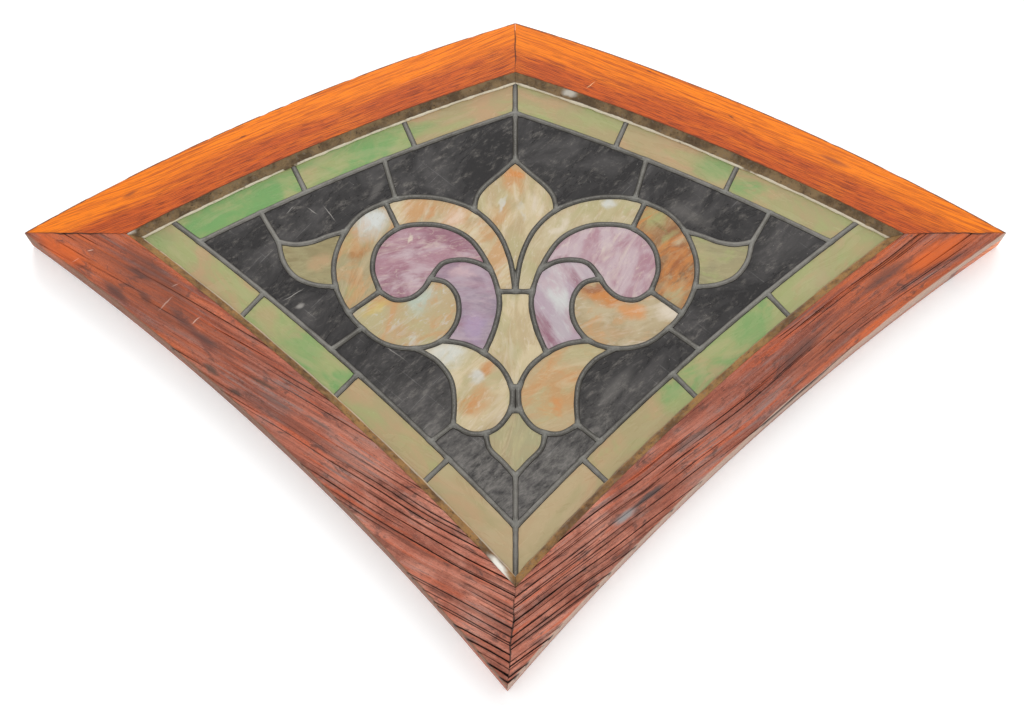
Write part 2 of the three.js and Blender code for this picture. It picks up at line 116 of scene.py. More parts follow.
def circles_cross(centre_a, radius_a, centre_b, radius_b, near):
    """Where two circles cross: along the line of centres to the foot, then square to it, nearest to a point."""
    line = centre_b - centre_a
    distance = np.abs(line)
    along = (distance**2 + radius_a**2 - radius_b**2) / (2 * distance)
    across = np.sqrt(radius_a**2 - along**2)
    foot = centre_a + along * line / distance
    pair = foot + np.array([[1], [-1]]) * across * 1j * line / distance
    return pair[np.argmin(np.abs(pair - near), axis=0), np.arange(pair.shape[1])]


def kite(upper, lower, lean=0):
    """Corners and radii of the kite that lies the given distances outside the sight line."""
    radius = RADIUS + SWELL * np.array([upper, upper, lower, lower])
    corners = circles_cross(np.roll(CENTRE, 1), np.roll(radius, 1), CENTRE, radius, SIGHT)
    corners[BOTTOM] += lean
    return corners, radius


def kite_edge(shape, k, share):
    """Points at shares of one edge of a kite."""
    corners, radius = shape
    return arc(corners[k], corners[(k + 1) % 4], radius[k], SWELL[k], share)


REBATE_WIDTH = 9
UPPER_FACE = 60
LOWER_FACE = 64.5
TIP_LEAN = -8
OUTER = kite(REBATE_WIDTH + UPPER_FACE, REBATE_WIDTH + LOWER_FACE, lean=TIP_LEAN)
REBATE = kite(REBATE_WIDTH, REBATE_WIDTH)
OUTER_CENTRE = centre_of(OUTER[0], np.roll(OUTER[0], -1), OUTER[1], SWELL)
ORIGIN_HEIGHT = (SIGHT[TOP].imag + OUTER[0][TOP].imag) / 2
print("outer corners:", np.round(OUTER[0], 1), "origin height:", round(ORIGIN_HEIGHT, 2))

# %% [markdown]
# ## Noise
# Old work is nowhere quite even, so nearly every surface here needs a soft random wave. Blender's own
# noise textures only reach a material. For a shape the noise has to be worked out as numbers, and value
# noise is the simplest: random heights on a lattice, with a smooth blend between them. It is seeded, so
# each run is the same.

# %% Value noise
LATTICE = 256


def noise(x, y, seed):
    """Value noise from 0 to 1: random heights on whole numbers, blended by 3u^2 - 2u^3 between them."""
    heights = np.random.default_rng(seed).random((LATTICE, LATTICE))
    i, j = np.floor(x).astype(int), np.floor(y).astype(int)
    u, v = x - i, y - j
    u, v = u * u * (3 - 2 * u), v * v * (3 - 2 * v)

    def corner(a, b):
        return heights[(i + a) % LATTICE, (j + b) % LATTICE]

    low = corner(0, 0) * (1 - u) + corner(1, 0) * u
    high = corner(0, 1) * (1 - u) + corner(1, 1) * u
    return low * (1 - v) + high * v


def smoothstep(low, high, x):
    """0 below low, 1 above high, and 3t^2 - 2t^3 between."""
    t = np.clip((x - low) / (high - low), 0, 1)
    return t * t * (3 - 2 * t)


sample = noise(np.linspace(0, 50, 200), np.zeros(200), 1)
print("noise runs from", round(sample.min(), 2), "to", round(sample.max(), 2))

# %% [markdown]
# ## From the drawing to places in the frame
# A drawing lies flat, and a window stands up. One function turns drawn points and depths into places in
# the frame, and another brings the points of a mesh back into the drawing, where it is easy to ask how far
# they lie from an edge.


# %% Standing a drawing up
def stood_up(p, depth):
    """The frame's coordinates, in metres, of drawn points at depths above the back face."""
    return np.stack([p.real, -depth, p.imag - ORIGIN_HEIGHT], axis=-1).reshape(-1, 3) / 1000


def drawn_points(mesh):
    """The points of a mesh, back in the drawing: complex numbers and depths, in millimetres."""
    flat = np.empty(len(mesh.vertices) * 3, np.float32)
    mesh.vertices.foreach_get("co", flat)
    x, y, z = flat.reshape(-1, 3).T.astype(float) * 1000
    return x + 1j * (z + ORIGIN_HEIGHT), -y


FRAME_THICKNESS = 35
front_of_top = stood_up(SIGHT[[TOP]], np.array([FRAME_THICKNESS]))
print("the top of the sight line stands at", front_of_top.round(4).tolist())

# %% [markdown]
# ## Meshes out of grids
# Nearly every surface here is a grid of points, whose rows follow each other along the piece. The quads
# between them are counted out at once for the whole grid. Patches that share an edge are welded, so that
# each piece is one closed skin, and then its faces can be turned outwards.


# %% Meshes from grids
def mesh_of(name, vertices, faces):
    """A mesh from an array of points and a list or an array of faces."""
    mesh = bpy.data.meshes.new(name)
    mesh.from_pydata(vertices.tolist(), [], [f.tolist() for f in faces])
    return mesh


def grid_faces(rows, columns, first=0, closed=True):
    """Quads of a grid whose rows follow each other and whose columns close round, counted from first."""
    wrap = columns if closed else columns - 1
    i, j = np.meshgrid(np.arange(rows - 1), np.arange(wrap), indexing="ij")
    k = (j + 1) % columns
    quads = np.stack([i * columns + j, i * columns + k, (i + 1) * columns + k, (i + 1) * columns + j], axis=-1)
    return first + quads.reshape(-1, 4)


def welded(mesh, distance=1e-6, outward=False):
    """Merges doubled points of a mesh, and turns its faces outwards if asked to."""
    work = bmesh.new()
    work.from_mesh(mesh)
    bmesh.ops.remove_doubles(work, verts=work.verts, dist=distance)
    bmesh.ops.dissolve_degenerate(work, edges=work.edges, dist=distance)
    if outward:
        bmesh.ops.recalc_face_normals(work, faces=work.faces)
    work.to_mesh(mesh)
    work.free()
    return mesh


def values_on(mesh, name, values):
    """Stores one number for each point of a mesh, for its material to read."""
    mesh.attributes.new(name, "FLOAT", "POINT").data.foreach_set("value", np.asarray(values, np.float32))


print("quads of a closed grid, 3 rows of 4 points:", len(grid_faces(3, 4)))

# %% [markdown]
# ## Finished pieces
# A finished piece is smooth but for its sharp edges, rides with the window, and stands for the solids that
# it replaces. One function does this for all of them, so that none is forgotten, and prints how many
# triangles each has.


# %% Handing a piece over
def piece(mesh, material, slot, *nodes, sharp_above=40):
    """Makes an object of a mesh, smooth but for its sharp edges, that stands for the named nodes."""
    made = bpy.data.objects.new(mesh.name, mesh)
    bpy.context.collection.objects.link(made)
    mesh.materials.clear()
    mesh.materials.append(material)
    mesh.shade_smooth()
    mesh.set_sharp_from_angle(angle=math.radians(sharp_above))
    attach(made, "root")
    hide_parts(*nodes)
    mesh.calc_loop_triangles()
    print(mesh.name, "triangles:", len(mesh.loop_triangles))


# %% [markdown]
# ## Colours and nodes
# A material is a small net of nodes. Wiring each by hand takes many lines, so these helpers take one line
# for each node: what it is joined to is a socket, and what stays the same is a number. Colours are given
# as a screen shows them, which is how they are easiest to judge.


# %% Colours and nodes
def tone(red, green, blue):
    """A colour as a screen shows it, from 0 to 255, turned into the light that a shader wants."""
    s = np.array([red, green, blue]) / 255
    light = np.where(s > 0.04045, ((s + 0.055) / 1.055) ** 2.4, s / 12.92)
    return (*light.tolist(), 1.0)


def finish(name, **settings):
    """A new material with values on its shader's own sockets, written as Coat_Weight for Coat Weight."""
    material = bpy.data.materials.new(name)
    material.use_nodes = True
    shader = material.node_tree.nodes["Principled BSDF"]
    for socket, value in settings.items():
        shader.inputs[socket.replace("_", " ")].default_value = value
    return material, shader


def node(material, kind, inputs, **settings):
    """Adds a node. A socket among its inputs is joined to it, and anything else is set as its value."""
    made = material.node_tree.nodes.new("ShaderNode" + kind)
    for name, value in settings.items():
        setattr(made, name, value)
    for key, value in inputs.items():
        if isinstance(value, bpy.types.NodeSocket):
            material.node_tree.links.new(value, made.inputs[key])
        else:
            made.inputs[key].default_value = value
    return made


print("a middle grey on the screen gives off", round(tone(128, 128, 128)[0], 3))

# %% [markdown]
# ## Where a pattern sits
# A cloud of noise that is stretched one way makes grain, wisps and scratches. The stretch and its angle
# are given to the places where the noise is read, in the window's own coordinates, so that a pattern is
# fixed to its piece.


# %% Places and clouds
def place(material, scale, turn=0.0, shift=(0, 0, 0)):
    """Object coordinates, turned about the window's depth by an angle in degrees, then stretched."""
    where = node(material, "TexCoord", {}).outputs["Object"]
    turned = node(material, "Mapping", {"Vector": where, "Rotation": (0, math.radians(turn), 0)})
    stretched = {"Vector": turned.outputs[0], "Scale": scale, "Location": shift}
    return node(material, "Mapping", stretched).outputs[0]


def cloud(material, where, scale=1.0, detail=3.0, roughness=0.5, distortion=0.0):
    """Smooth noise from 0 to 1 at the given places."""
    inputs = {"Vector": where, "Scale": scale, "Detail": detail, "Roughness": roughness}
    made = node(material, "TexNoise", {**inputs, "Distortion": distortion})
    return made.outputs["Fac"]


print("patterns are read in Object coordinates or along the grain")

# %% [markdown]
# ## How patterns are put together
# Most finishes here are a ground with one colour after another laid over it. A pattern, narrowed to a
# range, says how much of the next colour is seen. That is how dirt, wear and varnish came about, one over
# the other.


# %% Ranges, mixes and sums
def ranged(material, value, low, high, to_low=0.0, to_high=1.0):
    """A value spread from one range to another, smoothly, and clipped to it."""
    inputs = {"Value": value, "From Min": low, "From Max": high, "To Min": to_low, "To Max": to_high}
    return node(material, "MapRange", inputs, interpolation_type="SMOOTHSTEP").outputs[0]


def mixed(material, share, a, b):
    """Two colours mixed by a share."""
    made = node(material, "Mix", {}, data_type="RGBA")
    for socket, value in zip((made.inputs[0], made.inputs[6], made.inputs[7]), (share, a, b)):
        if isinstance(value, bpy.types.NodeSocket):
            material.node_tree.links.new(value, socket)
        else:
            socket.default_value = value
    return made.outputs[2]


def sums(material, kind, a, b=0.0):
    """Two numbers added, multiplied or otherwise put together."""
    return node(material, "Math", {0: a, 1: b}, operation=kind).outputs[0]


def stored(material, name):
    """A number that the piece's own mesh holds."""
    return node(material, "Attribute", {}, attribute_name=name).outputs["Fac"]


print("a mix, a sum or a range is one node each")

# %% [markdown]
# ## Marks that have a place
# Random patterns never fall where the real marks are. A blot is an ellipse with a soft edge, set down at
# its own place in the drawing, and a little noise makes its outline ragged. It only reaches a few
# millimetres down, so that a mark on the front doesn't show on the back.


# %% Blots and the last joints
MARK_DEPTH, MARK_REACH = 0.03, 0.025


def blots(material, colour, marks, wobble=0.0):
    """Soft marks over a colour. Each mark has its place in the drawing, half its length and width, all in
    millimetres, its angle in degrees, its own colour and its strength."""
    where = node(material, "TexCoord", {}).outputs["Object"]
    if wobble:
        stir = node(material, "TexNoise", {"Vector": where, "Scale": 55, "Detail": 3}).outputs["Color"]
        stir = node(material, "VectorMath", {0: stir, 1: (0.5, 0.5, 0.5)}, operation="SUBTRACT").outputs[0]
        stir = node(material, "VectorMath", {0: stir, "Scale": wobble / 1000}, operation="SCALE").outputs[0]
        where = node(material, "VectorMath", {0: where, 1: stir}, operation="ADD").outputs[0]
    for x, y, long, wide, angle, own, strength in marks:
        spot = {
            "Vector": where, "Location": (x / 1000, -MARK_DEPTH, (y - ORIGIN_HEIGHT) / 1000),
            "Rotation": (0, -math.radians(angle), 0), "Scale": (long / 1000, MARK_REACH, wide / 1000),
        }  # fmt: skip
        local = node(material, "Mapping", spot, vector_type="TEXTURE").outputs[0]
        away = node(material, "VectorMath", {0: local}, operation="LENGTH").outputs["Value"]
        colour = mixed(material, ranged(material, away, 1.0, 0.3, 0.0, strength), colour, own)
    return colour


def finished(material, shader, colour, roughness=None, height=None, relief=0.001, strength=0.5):
    """Joins a colour, a roughness and a bump to a material's shader."""
    links = material.node_tree.links
    links.new(colour, shader.inputs["Base Color"])
    if roughness is not None:
        links.new(roughness, shader.inputs["Roughness"])
    if height is not None:
        bump = node(material, "Bump", {"Height": height, "Distance": relief, "Strength": strength})
        links.new(bump.outputs[0], shader.inputs["Normal"])
    return material


print("a mark reaches", MARK_REACH, "m down from", MARK_DEPTH, "m in front of the back")

# %% [markdown]
# ## Lines of the leading
# A cartoon is the full-size drawing that a leaded panel is made on. Here each came is a smooth line
# through named marks: a cubic on each stretch, whose slopes weigh the marks on both sides, so that it
# never loops however uneven the marks are. A spline drawn by hand would do as well, but then neighbours
# would not end at exactly the same points.


# %% Smooth lines through marks
STEP = 2.6


def even_steps(lengths, names):
    """For each new point its stretch and its share of it, and the number of the point at each name."""
    counts = np.maximum(2, np.ceil(np.asarray(lengths) / STEP)).astype(int)
    stretch_of = np.repeat(np.arange(len(counts)), counts)
    first = np.cumsum(counts) - counts
    share = (np.arange(len(stretch_of)) - first[stretch_of]) / counts[stretch_of]
    return stretch_of, share, dict(zip(names, np.append(first, counts.sum())))


def came(**marks):
    """A smooth line through marks: on each stretch a cubic, whose end slopes weigh the marks around it by
    the square roots of their distances."""
    knots = np.array(list(marks.values()), complex)
    padded = np.concatenate([[2 * knots[0] - knots[1]], knots, [2 * knots[-1] - knots[-2]]])
    gaps = np.sqrt(np.abs(np.diff(padded)))
    before, a, b, after = padded[:-3], padded[1:-2], padded[2:-1], padded[3:]
    g, h, i = gaps[:-2], gaps[1:-1], gaps[2:]
    leave = ((a - before) / g - (b - before) / (g + h) + (b - a) / h) * h
    arrive = ((b - a) / h - (after - a) / (h + i) + (after - b) / i) * h
    on, t, index = even_steps(np.abs(b - a), marks)
    a, b, leave, arrive = a[on], b[on], leave[on], arrive[on]
    cubic = a + t * (leave + t * (3 * (b - a) - 2 * leave - arrive + t * (2 * (a - b) + leave + arrive)))
    return np.append(cubic, knots[-1]), index


print("a straight line through two marks 26 mm apart has", len(came(a=0, b=26)[0]), "points")

# %% [markdown]
# The border's cames aren't free curves. They are arcs beside the kite's edges, struck from the same
# centres, with marks where other cames meet them. Straight cuts are bars, and a stretch is the part of a
# line between two of its marks, taken in either direction.


# %% Arcs, bars and stretches
def border_line(k, outwards, **marks):
    """The arc beside one edge of the kite, at even angles between its marks."""
    spokes = np.array(list(marks.values()), complex) - CENTRE[k]
    turns = np.angle(spokes[1:] / spokes[:-1])
    on, share, index = even_steps(np.abs(turns) * (RADIUS[k] + SWELL[k] * outwards), marks)
    return CENTRE[k] + np.append(spokes[on] * np.exp(1j * share * turns[on]), spokes[-1]), index


def bar(a, b):
    """A straight line with even steps."""
    count = max(2, math.ceil(abs(b - a) / STEP))
    return a + (b - a) * np.linspace(0, 1, count + 1)


def at(line, name):
    """The point of a line at one of its marks."""
    return line[0][line[1][name]]


def stretch(line, start, end):
    """The points of a line from one mark to another, in that direction."""
    i, j = line[1][start], line[1][end]
    return line[0][i : j + 1] if i < j else line[0][j : i + 1][::-1]


print("a bar of 26 mm has", len(bar(0, 26)), "points")

# %% [markdown]
# ## The ornament's cames
# The left half of the ornament is drawn from the heart outwards: the scroll, its inner line, the wave that
# parts the two mauve glasses, the leaf, the bud, and the lobe below. Where cames meet they share a mark,
# so that neighbouring glasses have exactly the same points between them.

# %% Cames of the ornament
scroll = came(
    heart=0, stem=-6 + 38j, shoulder=-20 + 71j, bud=-45 + 96j, rise=-78 + 109j, crown=-112 + 112j,
    top_field=-131 + 109j, top_cut=-142 + 105j, turn=-167 + 92j, leaf_top=-184 + 71j, side=-195.5 + 36j,
    leaf_foot=-192.5 + 5j, low_cut=-178 - 25j, low_field=-163 - 42j, belly=-138 - 60j, lobe_side=-106 - 65j,
    lobe=-78 - 56j, curl_side=-62 - 33j, curl_top=-62 - 7j, curl_in=-74 + 10j, curl_end=-91.5 + 15j,
)  # fmt: skip
inner = came(
    start=-145.5, side=-154 + 26j, rise=-149 + 53j, top_cut=-127.5 + 74j, crown=-100 + 79j, fall=-73 + 75j,
    shoulder=-48 + 60j, wave=-26.5 + 25j, level=-18.5, waist=-17 - 16j, hip=-22 - 42j, lobe=-33 - 70.5j,
)  # fmt: skip
wave = came(
    start=at(inner, "start"), dip=-129 - 9.5j, low=-111 - 7j, climb=-98 + 4j, curl=at(scroll, "curl_end"),
    crest=-78 + 33j, top=-59 + 37j, fall=-42 + 34j, end=at(inner, "wave"),
)  # fmt: skip
leaf_upper = came(
    tip=-257 + 58j, dip=-238 + 55j, hollow=-220 + 58j, rise=-203 + 65j, end=at(scroll, "leaf_top")
)
leaf_lower = came(
    tip=at(leaf_upper, "tip"), cheek=-250 + 34j, belly=-237 + 17j, sole=-217 + 8j, end=at(scroll, "leaf_foot")
)
bud_side = came(tip=157j, brow=-16 + 141j, cheek=-34 + 124j, jaw=-42 + 112j, end=at(scroll, "bud"))
lobe = came(
    start=at(scroll, "lobe"), back=-54 - 60j, scroll_foot=at(inner, "lobe"), slope=-14.5 - 87j,
    near=-4.2 - 108j, beside=-3.2 - 120j, away=-5.5 - 134j, heel=-18 - 152j, low_bud=-31 - 158.5j,
    sole=-47 - 159j, corner=-65 - 149.5j,
)  # fmt: skip
lobe_side = came(
    corner=at(lobe, "corner"), hollow=-64 - 124j, cheek=-68 - 100j, shoulder=-83 - 79j,
    end=at(scroll, "lobe_side"),
)  # fmt: skip
low_bud_side = came(start=at(lobe, "low_bud"), cheek=-27 - 175j, jaw=-13 - 190j, tip=-205j)
print("points on the scroll:", len(scroll[0]))

# %% [markdown]
# ## Border and cuts
# The border is a strip of even width inside an edge came, and its cuts stand square to it. So it needs no
# points of its own: two more kites inside the sight line give both its edges, and a share of the way along
# says where each cut is.

# %% Edges and cuts of the border
EDGE_CAME = 4
BORDER_WIDTH = 34.2
UPPER_CUTS = [0.338, 0.685]
LOWER_CUTS = [0.202, 0.499, 0.786]
EDGE = kite(EDGE_CAME, EDGE_CAME)
INNER = kite(-BORDER_WIDTH, -BORDER_WIDTH)
UPPER_LEFT, LOWER_LEFT = 0, 3


def border_cuts(k, far, shares):
    """Feet of the border's cuts on its inner line, at shares from the side corner, and their heads."""
    spokes = (INNER[0][LEFT], INNER[0][far]) - CENTRE[k]
    feet = CENTRE[k] + spokes[0] * np.exp(1j * np.array(shares) * np.angle(spokes[1] / spokes[0]))
    heads = CENTRE[k] + (feet - CENTRE[k]) * EDGE[1][k] / INNER[1][k]
    return feet, heads


def on_inner_line(k, x):
    """The inner line's point straight above or below a given x."""
    rise = np.sqrt(INNER[1][k] ** 2 - (x - CENTRE[k].real) ** 2)
    return x + 1j * (CENTRE[k].imag + rise)


print("corners of the border inside:", np.round(INNER[0], 1).tolist())

# %% [markdown]
# Now the border's own lines can be struck, with a mark at each cut, and the straight cuts of the black
# ground laid from the ornament to them.

# %% Cames of the border
up_feet, up_heads = border_cuts(UPPER_LEFT, TOP, UPPER_CUTS)
low_feet, low_heads = border_cuts(LOWER_LEFT, BOTTOM, LOWER_CUTS)
side_corner, top_inner, bottom_inner = INNER[0][[LEFT, TOP, BOTTOM]]
edge_left, edge_top, edge_bottom = EDGE[0][[LEFT, TOP, BOTTOM]]
side_head = circles_cross(CENTRE[[3]], INNER[1][3], CENTRE[[0]], EDGE[1][0], side_corner)[0]
inner_upper = border_line(
    UPPER_LEFT, -BORDER_WIDTH, side=side_corner, cut_1=up_feet[0], tip=on_inner_line(UPPER_LEFT, -278),
    cut_2=up_feet[1], top_field=on_inner_line(UPPER_LEFT, -145), top=top_inner,
)  # fmt: skip
inner_lower = border_line(
    LOWER_LEFT, -BORDER_WIDTH, side=side_corner, cut_1=low_feet[0], low_field=on_inner_line(LOWER_LEFT, -195),
    cut_2=low_feet[1], foot=on_inner_line(LOWER_LEFT, -87.5), cut_3=low_feet[2], bottom=bottom_inner,
)  # fmt: skip
edge_upper = border_line(
    UPPER_LEFT, EDGE_CAME, left=edge_left, side=side_head, cut_1=up_heads[0], cut_2=up_heads[1], top=edge_top
)
edge_lower = border_line(
    LOWER_LEFT, EDGE_CAME, left=edge_left, cut_1=low_heads[0], cut_2=low_heads[1], cut_3=low_heads[2],
    bottom=edge_bottom,
)  # fmt: skip
side_line = border_line(LOWER_LEFT, -BORDER_WIDTH, corner=side_corner, head=side_head)
top_field_cut = bar(at(scroll, "top_field"), at(inner_upper, "top_field"))
tip_cut = bar(at(leaf_upper, "tip"), at(inner_upper, "tip"))
low_field_cut = bar(at(scroll, "low_field"), at(inner_lower, "low_field"))
foot_cut = bar(at(lobe, "corner"), at(inner_lower, "foot"))
print("border cuts at", np.round(up_feet), np.round(low_feet))

# %% [markdown]
# ## Glasses as closed outlines
# A glass is cut to its outline, and the lead follows it. Here an outline is a chain of stretches. The left
# half is drawn, and the right half is its mirror image, which for a complex number is minus its conjugate.


# %% Chains and mirror images
def chain(*runs):
    """Runs of points end to end round a closed outline, without doubled points, turning to the left."""
    whole = np.concatenate(runs)
    whole = whole[np.abs(whole - np.roll(whole, 1)) > 0.01]
    area = np.imag(np.conj(whole) * np.roll(whole, -1)).sum()
    return whole if area > 0 else whole[::-1]


def mirror(points):
    """The mirror image on the other side of the middle line, in the opposite direction."""
    return -np.conj(points)[::-1]


def both_halves(run):
    """A run that starts and ends on or near the middle line, closed by its own mirror image."""
    return chain(run, bar(run[-1], mirror(run)[0]), mirror(run), bar(mirror(run)[-1], run[0]))


print("a square of four runs has", len(chain(bar(0, 9), bar(9, 9 + 9j), bar(9 + 9j, 9j), bar(9j, 0))), "points")

# %% [markdown]
# The border's strips all have the same four sides, a cut, the outer edge, the next cut and the inner edge,
# so one loop makes them. Only the glass in the side corner has five.


# %% Outlines of the border
def border_outlines():
    """The strips between the border's cuts, numbered from the side corner."""
    upper = ["side", "cut_1", "cut_2", "top"]
    lower = ["cut_1", "cut_2", "cut_3", "bottom"]
    outlines = {}
    for names, inside, outside, label, first in (
        (upper, inner_upper, edge_upper, "upper", 1),
        (lower, inner_lower, edge_lower, "lower", 2),
    ):
        for i, (a, b) in enumerate(zip(names, names[1:])):
            start = side_line[0] if a == "side" else bar(at(inside, a), at(outside, a))
            end = bar(at(outside, b), at(inside, b))
            run = chain(start, stretch(outside, a, b), end, stretch(inside, b, a))
            outlines[f"border_{label}_{first + i}"] = run
    corner = (stretch(edge_lower, "cut_1", "left"), stretch(edge_upper, "left", "side"), side_line[0][::-1])
    close = (stretch(inner_lower, "side", "cut_1"), bar(at(inner_lower, "cut_1"), at(edge_lower, "cut_1")))
    outlines["border_lower_1"] = chain(*corner, *close)
    return outlines


print("strips in the left half of the border:", len(border_outlines()))

# %% [markdown]
# The other glasses are told off one by one, by walking round each: along one came to a mark, then along
# the next. A glass on the middle line is half a walk, closed by its own mirror image.

# %% Outlines of the left half
scroll_top_cut = bar(at(scroll, "top_cut"), at(inner, "top_cut"))
scroll_low_cut = bar(at(scroll, "low_cut"), at(inner, "start"))
level = bar(at(inner, "level"), at(scroll, "heart"))
half_outlines = {
    **border_outlines(),
    "field_top": chain(
        bar(top_inner, at(bud_side, "tip")), stretch(bud_side, "tip", "end"),
        stretch(scroll, "bud", "top_field"), top_field_cut, stretch(inner_upper, "top_field", "top"),
    ),
    "field_shoulder": chain(
        top_field_cut[::-1], stretch(scroll, "top_field", "leaf_top"), stretch(leaf_upper, "end", "tip"),
        tip_cut, stretch(inner_upper, "tip", "top_field"),
    ),
    "field_side": chain(
        tip_cut[::-1], stretch(leaf_lower, "tip", "end"), stretch(scroll, "leaf_foot", "low_field"),
        low_field_cut, stretch(inner_lower, "low_field", "side"), stretch(inner_upper, "side", "tip"),
    ),
    "field_lower": chain(
        low_field_cut[::-1], stretch(scroll, "low_field", "lobe_side"), stretch(lobe_side, "end", "corner"),
        foot_cut, stretch(inner_lower, "foot", "low_field"),
    ),
    "field_bottom": chain(
        foot_cut[::-1], stretch(lobe, "corner", "low_bud"), stretch(low_bud_side, "start", "tip"),
        bar(at(low_bud_side, "tip"), bottom_inner), stretch(inner_lower, "bottom", "foot"),
    ),
    "scroll_top": chain(
        stretch(scroll, "heart", "top_cut"), scroll_top_cut, stretch(inner, "top_cut", "level"), level
    ),
    "scroll_side": chain(
        stretch(scroll, "top_cut", "low_cut"), scroll_low_cut, stretch(inner, "start", "top_cut"),
        scroll_top_cut[::-1],
    ),
    "purple_comma": chain(stretch(inner, "start", "wave"), stretch(wave, "end", "start")),
    "purple_crescent": chain(
        stretch(wave, "curl", "end"), stretch(inner, "wave", "lobe"), stretch(lobe, "scroll_foot", "start"),
        stretch(scroll, "lobe", "curl_end"),
    ),
    "amber_drop": chain(stretch(wave, "start", "curl"), stretch(scroll, "curl_end", "low_cut"), scroll_low_cut),
    "leaf": chain(
        stretch(leaf_upper, "tip", "end"), stretch(scroll, "leaf_top", "leaf_foot"),
        stretch(leaf_lower, "end", "tip"),
    ),
    "lobe": chain(
        stretch(lobe, "start", "corner"), stretch(lobe_side, "corner", "end"),
        stretch(scroll, "lobe_side", "lobe"),
    ),
}  # fmt: skip
print("glasses in the left half:", len(half_outlines))

# %% [markdown]
# Three glasses stand on the middle line. With the left half, its mirror image and these three, the cartoon
# is whole.

# %% Outlines on the middle line, and all of them
middle_outlines = {
    "bud": both_halves(np.concatenate([stretch(scroll, "heart", "bud"), stretch(bud_side, "end", "tip")])),
    "stem": both_halves(
        np.concatenate([
            level[::-1], stretch(inner, "level", "lobe"), stretch(lobe, "scroll_foot", "near"),
        ])
    ),
    "low_bud": both_halves(
        np.concatenate([stretch(lobe, "away", "low_bud"), stretch(low_bud_side, "start", "tip")])
    ),
}  # fmt: skip
outlines = {f"glass_{name}_left": run for name, run in half_outlines.items()}
outlines |= {f"glass_{name}_right": mirror(run) for name, run in half_outlines.items()}
outlines |= {f"glass_{name}": run for name, run in middle_outlines.items()}
print("glasses:", len(outlines), "points round them:", sum(map(len, outlines.values())))

# %% [markdown]
# ## Lead
# A came is an H in section: two leaves and a heart between them, with a glass in the channel on each side.
# One glass at a time, the half came round it is a ring: from the crown on the shared line down to the
# leaf's edge, over the cement beside it, in under the leaf to the heart, and out again behind. Neighbours
# share the points of the crown, so the rings weld into one network. Solder stands in a low blob on each
# joint, and the leaves are dressed by hand, so width and height wander a little.

# %% Section of a came
CAME_HALF = 6.35 / 2
LEAF_REACH = 2.96
GLASS_BACK = 21.0
GLASS_FRONT = 24.0
# Shares of the way from the crown to the leaf's edge, and depths, round a half came.
FRONT_SECTION = [
    (0, 25.5), (0.27, 25.42), (0.51, 25.15), (0.72, 24.75), (0.86, 24.4), (0.89, 24.2), (1, 24.03)
]  # fmt: skip
CHANNEL = [(0.28, 24.03), (0.28, 20.97)]
BACK_SECTION = [(1.15, 20.97), (1, 20.6), (0.75, 19.95), (0.4, 19.6), (0, 19.5)]
RING = np.array(FRONT_SECTION + CHANNEL + BACK_SECTION)
# The came's outer side under the putty, and the solid lead between the two lobes, in front and behind.
OUTSIDE = np.array([(0, 25.5), (0.6, 25.2), (1, 24.6), (1, 20.4), (0.6, 19.7), (0, 19.5)])
VALLEY_FRONT = np.array([(0, 25.5), (0.3, 25.42), (0.58, 25.15), (0.85, 24.75), (1, 24.5)])
VALLEY_BACK = np.array([(1, 20.5), (0.5, 19.7), (0, 19.5)])
print("points round half a came:", len(RING), "depth of its channel:", round(CHANNEL[0][1] - CHANNEL[1][1], 2))

# %% [markdown]
# The leaf's edge has to follow the glass at an even distance. Moving each point along its own normal works
# on a curve, but at a corner neighbouring points would cross. So each side between two corners is moved as
# a whole, cut where it meets the next one, and shared out again.


# %% Edge of the leaf
SHARP_TURN = 0.45


def polylines_cross(a, b, near):
    """Where two open lines cross, nearest to a point: the place on each, counted in points."""
    run_a, run_b = np.diff(a)[:, None], np.diff(b)[None, :]
    away = b[None, :-1] - a[:-1, None]
    with np.errstate(divide="ignore", invalid="ignore"):
        turn = np.imag(np.conj(run_a) * run_b)
        t = np.imag(np.conj(away) * run_b) / turn
        u = np.imag(np.conj(away) * run_a) / turn
    i, j = np.nonzero((t >= 0) & (t <= 1) & (u >= 0) & (u <= 1))
    if not len(i):
        return len(a) - 2, 1
    best = np.argmin(np.abs(a[i] + t[i, j] * run_a[i, 0] - near))
    i, j = i[best], j[best]
    return i + t[i, j], j + u[i, j]


def length_along(line):
    """How far along a line each of its points is: the sum of the steps up to it."""
    return np.append(0, np.cumsum(np.abs(np.diff(line))))


def leaf_edge(outline, distance):
    """A partner for each point of an outline at a distance inside it. Every side between two sharp turns
    moves along its own normals, is cut where it meets the next side, and is shared out again over as many
    points as it had."""
    along = np.roll(outline, -1) - outline
    turn = np.angle(along / np.roll(along, 1))
    corners = np.flatnonzero(np.abs(turn) > SHARP_TURN)
    count = len(outline)
    sides, moved = [], []
    for a, b in zip(corners, np.append(corners[1:], corners[0] + count)):
        numbers = np.arange(a, b + 1) % count
        p = outline[numbers]
        slope = np.gradient(p)
        q = p + distance * 1j * slope / np.abs(slope)
        reach = 5 * distance * slope[[0, -1]] / np.abs(slope[[0, -1]])
        sides.append(numbers)
        moved.append(np.concatenate([[q[0] - reach[0]], q, [q[-1] + reach[1]]]))
    meets = [
        polylines_cross(a, b, outline[numbers[-1]])
        for a, b, numbers in zip(moved, moved[1:] + moved[:1], sides)
    ]
    partners = np.empty_like(outline)
    for k, (numbers, q) in enumerate(zip(sides, moved)):
        start, end = meets[k - 1][1], meets[k][0]
        between = np.arange(math.floor(start) + 1, math.ceil(end))
        cut = np.interp(np.concatenate([[start], between, [end]]), np.arange(len(q)), q)
        cut_length, length = length_along(cut), length_along(outline[numbers])
        partners[numbers] = np.interp(length / length[-1] * cut_length[-1], cut_length, cut)
    return partners


